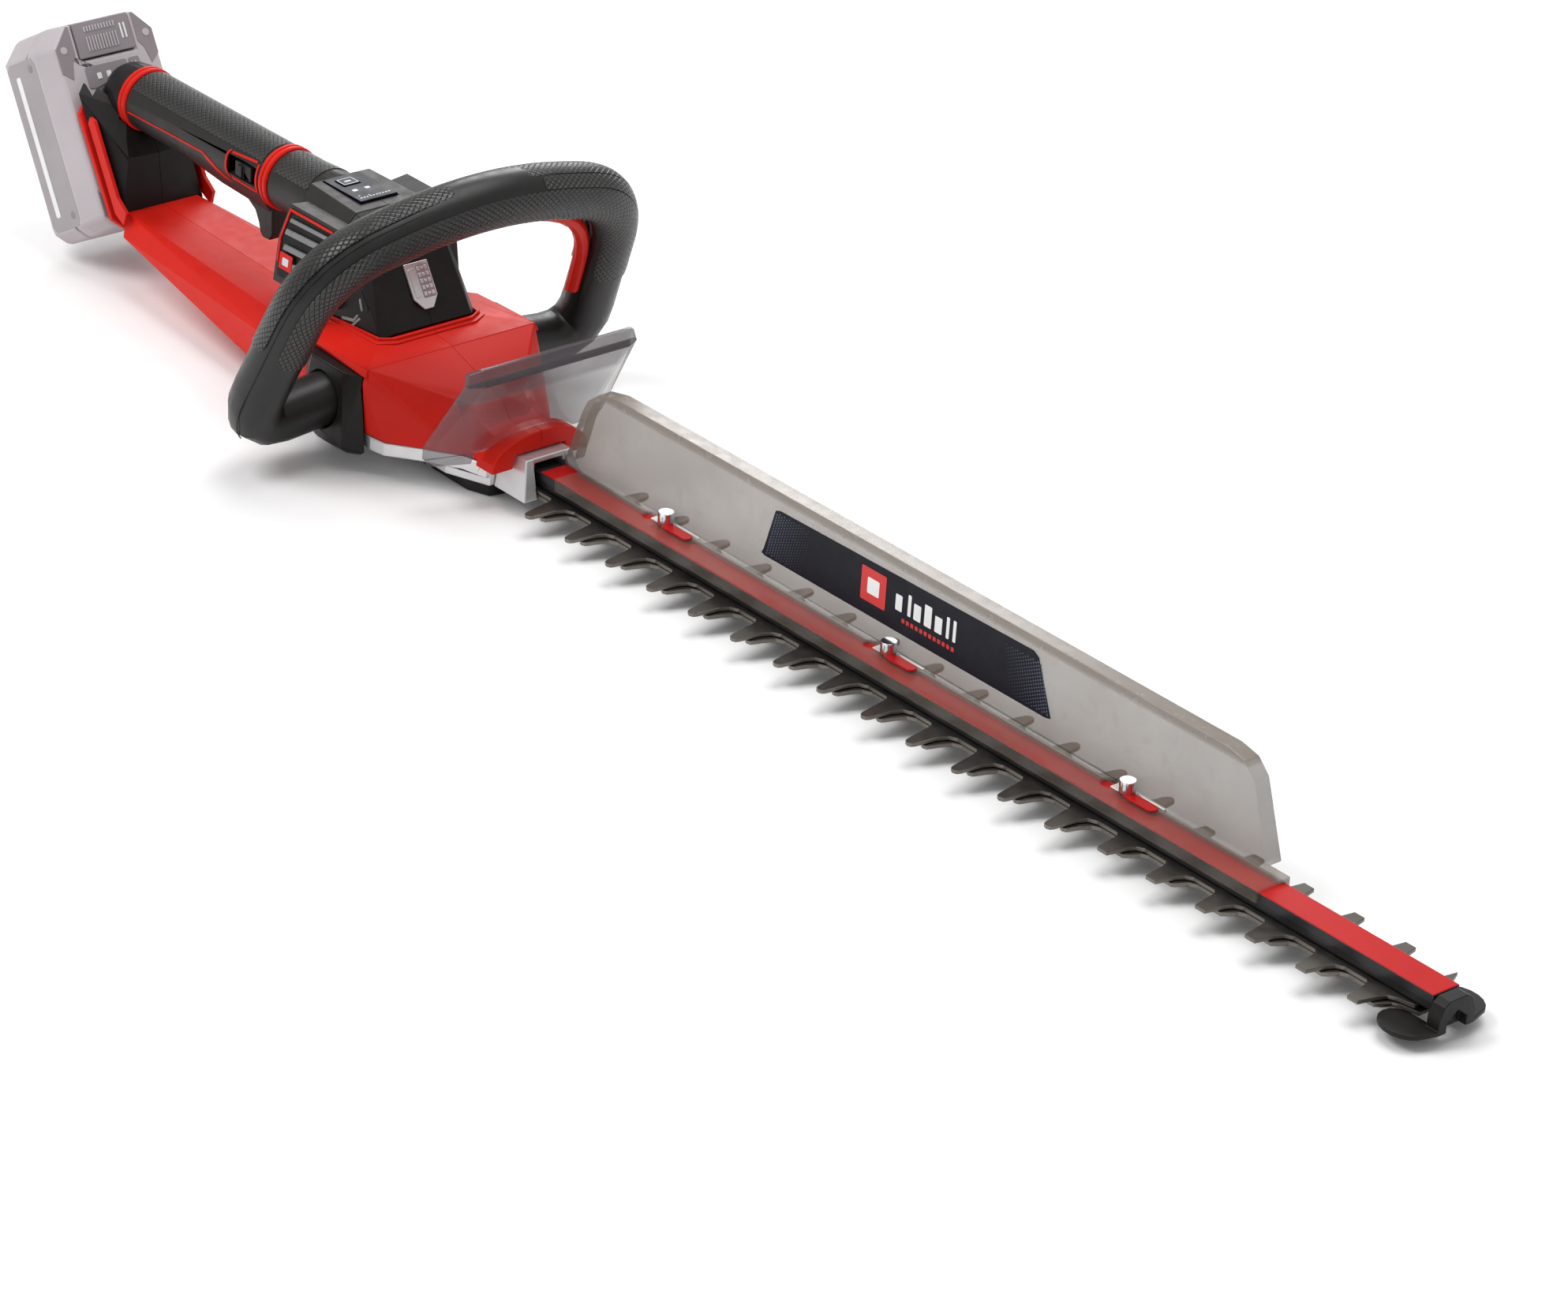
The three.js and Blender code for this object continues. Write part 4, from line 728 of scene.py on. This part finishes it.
# Painted shade: a darker copy of the battery grey, laid on the battery's sides.
battery_side_shade = finish_material("battery_side_shade", (0.34, 0.31, 0.325), 0.45, blotch=0.06, shine=0.3)
battery_pale = finish_material("battery_pale", (0.78, 0.76, 0.78), 0.4, blotch=0.04)
latch_level = level_of("battery_latch", RAIL_OUT)
face_level = float(np.dot(RAIL_OUT, RAIL_ORIGIN)) - FACE_SETBACK
ribs = [rounded_outline(-12 + 2.0 * step, RAIL_ZERO + 68.4, 0.8, 8.6, 0.3) for step in range(11)]
ribs += [rounded_outline(-12 + 2.0 * step, RAIL_ZERO + 77.2, 1.0, 3.2, 0.3) for step in range(11)]
latch_bars = [rounded_outline(12.2 + 2.6 * step, RAIL_ZERO + 72, 1.1, 9.0, 0.4) for step in range(2)]
window = [rounded_outline(-4, WINDOW_UP, 29, 13, 1.6), rounded_outline(15.4, WINDOW_UP, 7.4, 13, 1.2)]
lamps = [rounded_outline(-10 + 6.6 * step, WINDOW_UP, 3.0, 3.6, 0.5) for step in range(3)]
lamps += [rounded_outline(13.6 + 2.6 * step, WINDOW_UP, 1.0, 7.6, 0.4) for step in range(2)]
for name, outlines, level, thick, material, body, slot in (
    ("latch_ribs", ribs, latch_level - PLATE_SINK, 0.8, battery_grey, "battery_latch", "grey_latch"),
    ("latch_bars", latch_bars, latch_level - PLATE_SINK, 0.5, battery_pale, "battery_latch", "grey_latch"),
    ("charge_window", window, face_level - 0.2, 0.7, battery_dark, "battery", "grey_shell"),
    ("charge_lamps", lamps, face_level + 0.45, 0.35, battery_pale, "battery", "grey_shell"),
):
    raise_plates(name, outlines, ACROSS, RAIL_UP, level, thick, material, body)

corner_guards = [
    [(21.5, 81.2), (23, 81.2), (33.3, 69.6), (33.3, 55), (27, 50), (24.5, 60), (21.5, 64)],
    [(26.5, -35.6), (33, -29), (33, -14), (29.5, -18), (26.5, -26)],
]
# Outline of the side panel that carries the painted shade on each side of the battery.
shaded_side_outline = [(53, -26), (53, 67), (50, 70), (25, 70), (22, 66), (22, -26), (25, -30), (50, -30)]
mount_tongue = [(3.0, 24), (6.4, 27), (9.8, 24), (10.4, -22), (15, -32), (9, -38), (3.6, -30)]
for side, hand in HANDS:
    lengthwise = np.array(RAIL_OUT) * -side
    zero = float(np.dot(lengthwise, RAIL_ORIGIN))
    guards = [[(side * a, RAIL_ZERO + b) for a, b in guard] for guard in corner_guards]
    screws = [rounded_outline(side * 28.4, RAIL_ZERO + 68.0, 4.4, 4.4, 2.1)]
    panel = [[(zero + side * a, RAIL_ZERO + b) for a, b in shaded_side_outline]]
    strip = [rounded_outline(zero + side * 43, RAIL_ZERO + 20, 4.6, 84, 1.6)]
    dots = [rounded_outline(zero + side * 28, RAIL_ZERO + rise, 4.4, 4.4, 2.1) for rise in (64, -23)]
    for part, outlines, along, level, thick, material in (
        ("guard", guards, ACROSS, face_level - 3.2, 3.5, battery_dark),
        ("screws", screws, ACROSS, face_level + 0.2, 0.4, battery_grey),
        ("panel", panel, lengthwise, SIDE_LEVEL, 0.5, battery_side_shade),
        ("strip", strip, lengthwise, TRIM_LEVEL, 0.5, battery_pale),
        ("dots", dots, lengthwise, TRIM_LEVEL, 0.3, battery_dark),
    ):
        raise_plates(
            f"battery_{part}_{hand}", outlines, along, RAIL_UP, level, thick, material, "battery",
        )
    # A red tongue runs down each side of the mount and into the red bar below it.
    tongue = [[(zero - side * a, RAIL_ZERO + b) for a, b in mount_tongue]]
    raise_plates(
        f"mount_tongue_{hand}", tongue, lengthwise, RAIL_UP, TONGUE_LEVEL, 2.4, red_nylon, "housing",
    )

# ---------------------------------------------------------------- front loop handle and its bosses
# A steel loop in a soft black rubber cover stands across the tool between two black nylon bosses. A
# red bar inside it is the second switch.
soft_cover = finish_material("soft_cover", (0.01, 0.0092, 0.0088), 0.38, blotch=0.12, dust=0.004, shine=0.4)
dress("side_boss_right", black_nylon, 1.2)
dress("side_boss_left", black_nylon, 1.2)
dress("loop_handle", soft_cover, 0.5)
dress("switch_bail", red_nylon, 0.8)

LOOP_X, LOOP_Z, LOOP_LEAN, LOOP_RADIUS = -51.0, 34.5, 0.41, 15.0
LOOP_CORNERS = np.array([(59.0, 0.0), (116.5, -9.0), (102.0, 109.0), (0.0, 137.0)])
KNEE_BEND, SHOULDER_BEND = 30, 36


def loop_line():
    """The loop's middle line: straight legs, joined at each corner by a quadratic bend, then mirrored."""
    def bend(start, corner, end):
        share = np.linspace(0, 1, 60)[:, None]
        return (1 - share) ** 2 * start + 2 * share * (1 - share) * corner + share**2 * end

    def toward(start, end, distance):
        return start + (end - start) * distance / np.linalg.norm(end - start)

    foot, knee, shoulder, crest = LOOP_CORNERS
    crest_in = crest + (shoulder - crest) * 0.55
    half = np.concatenate([
        np.linspace(foot, toward(knee, foot, KNEE_BEND), 20, endpoint=False),
        bend(toward(knee, foot, KNEE_BEND), knee, toward(knee, shoulder, KNEE_BEND)),
        bend(toward(shoulder, knee, SHOULDER_BEND), shoulder, toward(shoulder, crest, SHOULDER_BEND)),
        bend(crest_in, crest, crest_in * [-1, 1])[:30],
    ])
    flat = np.concatenate([half * [-1, 1], half[::-1]])
    across, rise = flat.T
    line = np.stack([LOOP_X + rise * math.sin(LOOP_LEAN), across, LOOP_Z + rise * math.cos(LOOP_LEAN)], 1)
    step = np.linalg.norm(np.diff(line, axis=0), axis=1)
    keep = np.concatenate([[True], step > 1e-6])
    line = line[keep]
    run = np.concatenate([[0], np.cumsum(np.linalg.norm(np.diff(line, axis=0), axis=1))])
    return line, run


loop_middle, loop_run = loop_line()
LOOP_LENGTH = loop_run[-1]
FORWARD = np.array([math.cos(LOOP_LEAN), 0, -math.sin(LOOP_LEAN)])


def on_loop(lengthwise, around):
    """Round tube: middle line + R (cos a * outward + sin a * forward), a = around / R."""
    def line_at(run):
        return np.stack([np.interp(run, loop_run, loop_middle[:, k]) for k in range(3)], -1)

    ahead = line_at(lengthwise + 1.5) - line_at(lengthwise - 1.5)
    ahead = ahead / np.linalg.norm(ahead, axis=-1, keepdims=True)
    outward = np.cross(FORWARD, ahead)
    turn = (around / LOOP_RADIUS)[..., None]
    out = np.cos(turn) * outward + np.sin(turn) * FORWARD
    return line_at(lengthwise) + LOOP_RADIUS * out, out


def loop_patch(name, reach, turns, thick, material, lengthways=170, columns=26):
    """A patch of the cover between two shares of the loop's length and two turns, ends rounded off."""
    along, over = grid(lengthways, columns)
    low, high = np.radians(turns[0]) * LOOP_RADIUS, np.radians(turns[1]) * LOOP_RADIUS
    middle, half = (low + high) / 2, (high - low) / 2
    end_gap = np.minimum(along, 1 - along) * (reach[1] - reach[0]) * LOOP_LENGTH
    taper = np.sqrt(np.clip(1 - (1 - np.clip(end_gap / 9, 0, 1)) ** 2, 0.02, 1)) * 0.35 + 0.65
    lengthwise = (reach[0] + along * (reach[1] - reach[0])) * LOOP_LENGTH
    around = middle + (2 * over - 1) * half * taper
    return lay_skin(name, on_loop, lengthwise, around, thick, material, "housing")


loop_patch("loop_scales_back", (0.20, 0.80), (-158, 10), 0.85, scale_rubber, 260, 40)
loop_patch("loop_scales_front", (0.20, 0.80), (44, 140), 0.85, scale_rubber, 260, 26)
loop_patch("loop_scales_far", (0.56, 0.80), (12, 42), 0.8, scale_rubber, 90, 12)
seam_black = finish_material("seam_black", (0.004, 0.004, 0.004), 0.6, blotch=0.1)
loop_patch("loop_seam", (0.10, 0.55), (19.0, 20.8), 0.3, seam_black, 220, 3)

# ---------------------------------------------------------------- hand shield and cuttings collector
# Both are moulded in smoke-tinted clear polycarbonate, about two millimetres thick. The shield stands
# on the shell in front of the loop, and the collector is clipped beside the bar with three studs.
RIM_COVER = 0.22
THICK_ABOVE = (26.2 * MM, 27.4 * MM)
THICK_BESIDE = (3.6 * MM, 5.0 * MM)
RIM_ABOVE = (70.6 * MM, 71.6 * MM)


def smoke_material(name, colour, gloss, cover_low, cover_high):
    """Smoke-tinted clear plastic: each wall hides a share of what is behind it, the tint uneven.

    The share is cover_low where z is below THICK_ABOVE and y is below THICK_BESIDE, and cover_high
    past either of them. RIM_COVER is added in the rim, above RIM_ABOVE.
    """
    material = finish_material(name, colour, gloss, blotch=0.05, depth=0.01, dust=0.01)
    tree = material.node_tree
    shader = tree.nodes["Principled BSDF"]
    place = tree.nodes["Texture Coordinate"].outputs["Object"]
    split = tree.nodes.new("ShaderNodeSeparateXYZ")
    shader_link(tree, place, split.inputs[0])
    above = ramp(tree, split.outputs["Z"], *THICK_ABOVE, cover_low, cover_high)
    beside = ramp(tree, split.outputs["Y"], *THICK_BESIDE, cover_low, cover_high)
    rim = ramp(tree, split.outputs["Z"], *RIM_ABOVE, 0.0, RIM_COVER)
    uneven = spread(tree, noise_node(tree, place, 30.0, 2.0), -0.02, 0.02)
    cover = calculate(tree, "MAXIMUM", above, beside)
    cover = calculate(tree, "ADD", cover, uneven)
    cover = calculate(tree, "ADD", cover, rim)
    shader_link(tree, cover, shader.inputs["Alpha"])
    return material


smoke_shield = smoke_material("smoke_shield", (0.1, 0.084, 0.094), 0.2, 0.4, 0.4)
smoke_collector = smoke_material("smoke_collector", (0.21, 0.172, 0.14), 0.24, 0.17, 0.52)
dress("hand_shield", smoke_shield, 0.8)
dress("collector", smoke_collector, 0.8)
chrome = finish_material("chrome", (0.75, 0.75, 0.76), 0.08, metallic=1.0, blotch=0.05, depth=0.005)
for number in range(1, 4):
    dress(f"collector_stud_{number}", chrome, 0.3)

# Each stud stands on a bent steel clip beside a red oval boss on the lip.
STUD_PLACES = (159.4, 337.2, 513.8)
CLIP_LEVEL, BOSS_LEVEL = 26.05, 25.7
for number, stud_x in enumerate(STUD_PLACES, start=1):
    clip = [
        rounded_outline(stud_x - 1.5, 4.4, 15.0, 6.4, 0.8),
        rounded_outline(stud_x + 14.0, 7.4, 20.0, 1.6, 0.5),
    ]
    raise_plates(
        f"stud_clip_{number}", clip, ALONG, ACROSS, CLIP_LEVEL, 0.3, zinc_plate, "collector"
    )
    boss = [rounded_outline(stud_x + 12.0, 2.6, 21.0, 6.6, 3.2)]
    raise_plates(
        f"lip_boss_{number}", boss, ALONG, ACROSS, BOSS_LEVEL, 1.1, red_gloss, "collector"
    )

# The collector's wall carries a navy film label with a plain square mark and fading rows of dots.
label_navy = finish_material("label_navy", (0.002, 0.003, 0.009), 0.42, blotch=0.06, dust=0.0, shine=0.2)
label_dot = finish_material("label_dot", (0.06, 0.08, 0.13), 0.4, blotch=0.05)
label_red = finish_material("label_red", (0.62, 0.012, 0.01), 0.35, blotch=0.04)
label_white = finish_material("label_white", (0.85, 0.85, 0.85), 0.4, blotch=0.03)
WALL_FACE = -9.6
label_outline = [
    (239.5, 65), (232, 40), (230.5, 37.5), (233, 36.6), (448, 36.4), (452, 37.4), (450.8, 40),
    (440, 66.6), (436, 68.8), (243, 66.2),
]
DOT_STEP, ROW_STEP, ROW_SHIFT = 1.9, 1.75, 0.87
FIRST_DOT, DOT_LOSS, LEAST_DOT = 1.25, 0.065, 0.3
label_dots = []
for step in range(18):
    for row in range(16):
        size = FIRST_DOT - DOT_LOSS * step
        height = 38.6 + ROW_STEP * row + ROW_SHIFT * (step % 2)
        near = 234.6 + 0.25 * (height - 38) + DOT_STEP * step
        far = 449.6 - 0.3 * (height - 38) - DOT_STEP * step
        if size > LEAST_DOT and height < 64.5:
            label_dots.append(rounded_outline(near, height, size, size, size * 0.45)[::4])
            label_dots.append(rounded_outline(far, height, size, size, size * 0.45)[::4])
word_bars = [
    (337, 5.0, 9), (345, 2.4, 12), (351, 5.4, 9), (359, 5.4, 12), (367, 5.4, 9), (374, 2.2, 12),
    (379, 2.2, 12),
]
word = [rounded_outline(x, 51.6 + tall / 2 - 3, wide, tall, 0.6) for x, wide, tall in word_bars]
dashes = [rounded_outline(341 + 3.4 * step, 44.4, 2.2, 2.4, 0.4) for step in range(12)]
label_layers = (
    ("film", [label_outline], 0.0, 0.3, label_navy),
    ("dots", label_dots, 0.25, 0.12, label_dot),
    ("square", [rounded_outline(317.5, 53.6, 19, 19, 0.8)], 0.28, 0.25, label_red),
    ("mark", [rounded_outline(317.5, 53.6, 9, 9, 0.8)], 0.5, 0.12, label_white),
    ("word", word, 0.28, 0.15, label_white),
    ("line", dashes, 0.28, 0.15, label_red),
)
for part, outlines, offset, thick, material in label_layers:
    raise_plates(
        f"label_{part}", outlines, ALONG, UPWARD, WALL_FACE - PRINT_SINK + offset, thick, material,
        "collector",
    )

# ---------------------------------------------------------------- studio
# The tool stands on a plain pale floor with a pale surround. Three square soft lights stand to the
# right, overhead and behind on the left, and the camera looks down from the front right.
FLOOR_HALF = 6.0
floor_mesh = bpy.data.meshes.new("floor")
floor_corners = [(x * FLOOR_HALF, y * FLOOR_HALF, 0) for x, y in ((-1, -1), (1, -1), (1, 1), (-1, 1))]
floor_mesh.from_pydata(floor_corners, [], [(0, 1, 2, 3)])
floor = bpy.data.objects.new("floor", floor_mesh)
bpy.context.scene.collection.objects.link(floor)
floor_white = finish_material("floor_white", (0.93, 0.93, 0.93), 0.8, blotch=0.01, dust=0.0)
floor_mesh.materials.append(floor_white)

world = bpy.data.worlds.new("surround")
world.use_nodes = True
world.node_tree.nodes["Background"].inputs["Color"].default_value = (1, 1, 1, 1)
world.node_tree.nodes["Background"].inputs["Strength"].default_value = 0.5
bpy.context.scene.world = world


def soft_light(name, place, aim, size, power):
    """A square area light at a place, turned towards a point."""
    lamp = bpy.data.lights.new(name, "AREA")
    lamp.size = size
    lamp.energy = power
    lit = bpy.data.objects.new(name, lamp)
    bpy.context.scene.collection.objects.link(lit)
    aim_line = np.array(aim, float) - np.array(place, float)
    back = -aim_line / np.linalg.norm(aim_line)
    right = np.cross((0, 0, 1.0), back)
    right = right / np.linalg.norm(right) if np.linalg.norm(right) > 1e-6 else np.array((1.0, 0, 0))
    up = np.cross(back, right)
    pose = np.eye(4)
    pose[:3, 0], pose[:3, 1], pose[:3, 2], pose[:3, 3] = right, up, back, place
    lit.matrix_world = Matrix(pose.tolist())
    return lit


soft_light("key", (-0.6, -1.4, 2.2), (0, 0, 0.05), 1.2, 34)
soft_light("overhead", (0.2, 0.6, 2.4), (0.1, 0, 0), 1.6, 30)
soft_light("rim", (-1.6, 1.6, 1.2), (0, 0, 0.05), 1.0, 18)

CAMERA_PLACE = (2.2781, -1.8352, 1.3977)
CAMERA_RIGHT = (0.64821, 0.75893, 0.06209)
CAMERA_UP = (-0.38355, 0.25498, 0.88762)
CAMERA_BACK = (0.65781, -0.59918, 0.45637)
lens = bpy.data.cameras.new("camera")
lens.lens = 135.98
lens.sensor_width = 36.0
lens.sensor_fit = "HORIZONTAL"
lens.clip_end = 50
camera = bpy.data.objects.new("camera", lens)
bpy.context.scene.collection.objects.link(camera)
camera_pose = np.eye(4)
camera_pose[:3, 0], camera_pose[:3, 1] = CAMERA_RIGHT, CAMERA_UP
camera_pose[:3, 2], camera_pose[:3, 3] = CAMERA_BACK, CAMERA_PLACE
camera.matrix_world = Matrix(camera_pose.tolist())
bpy.context.scene.camera = camera
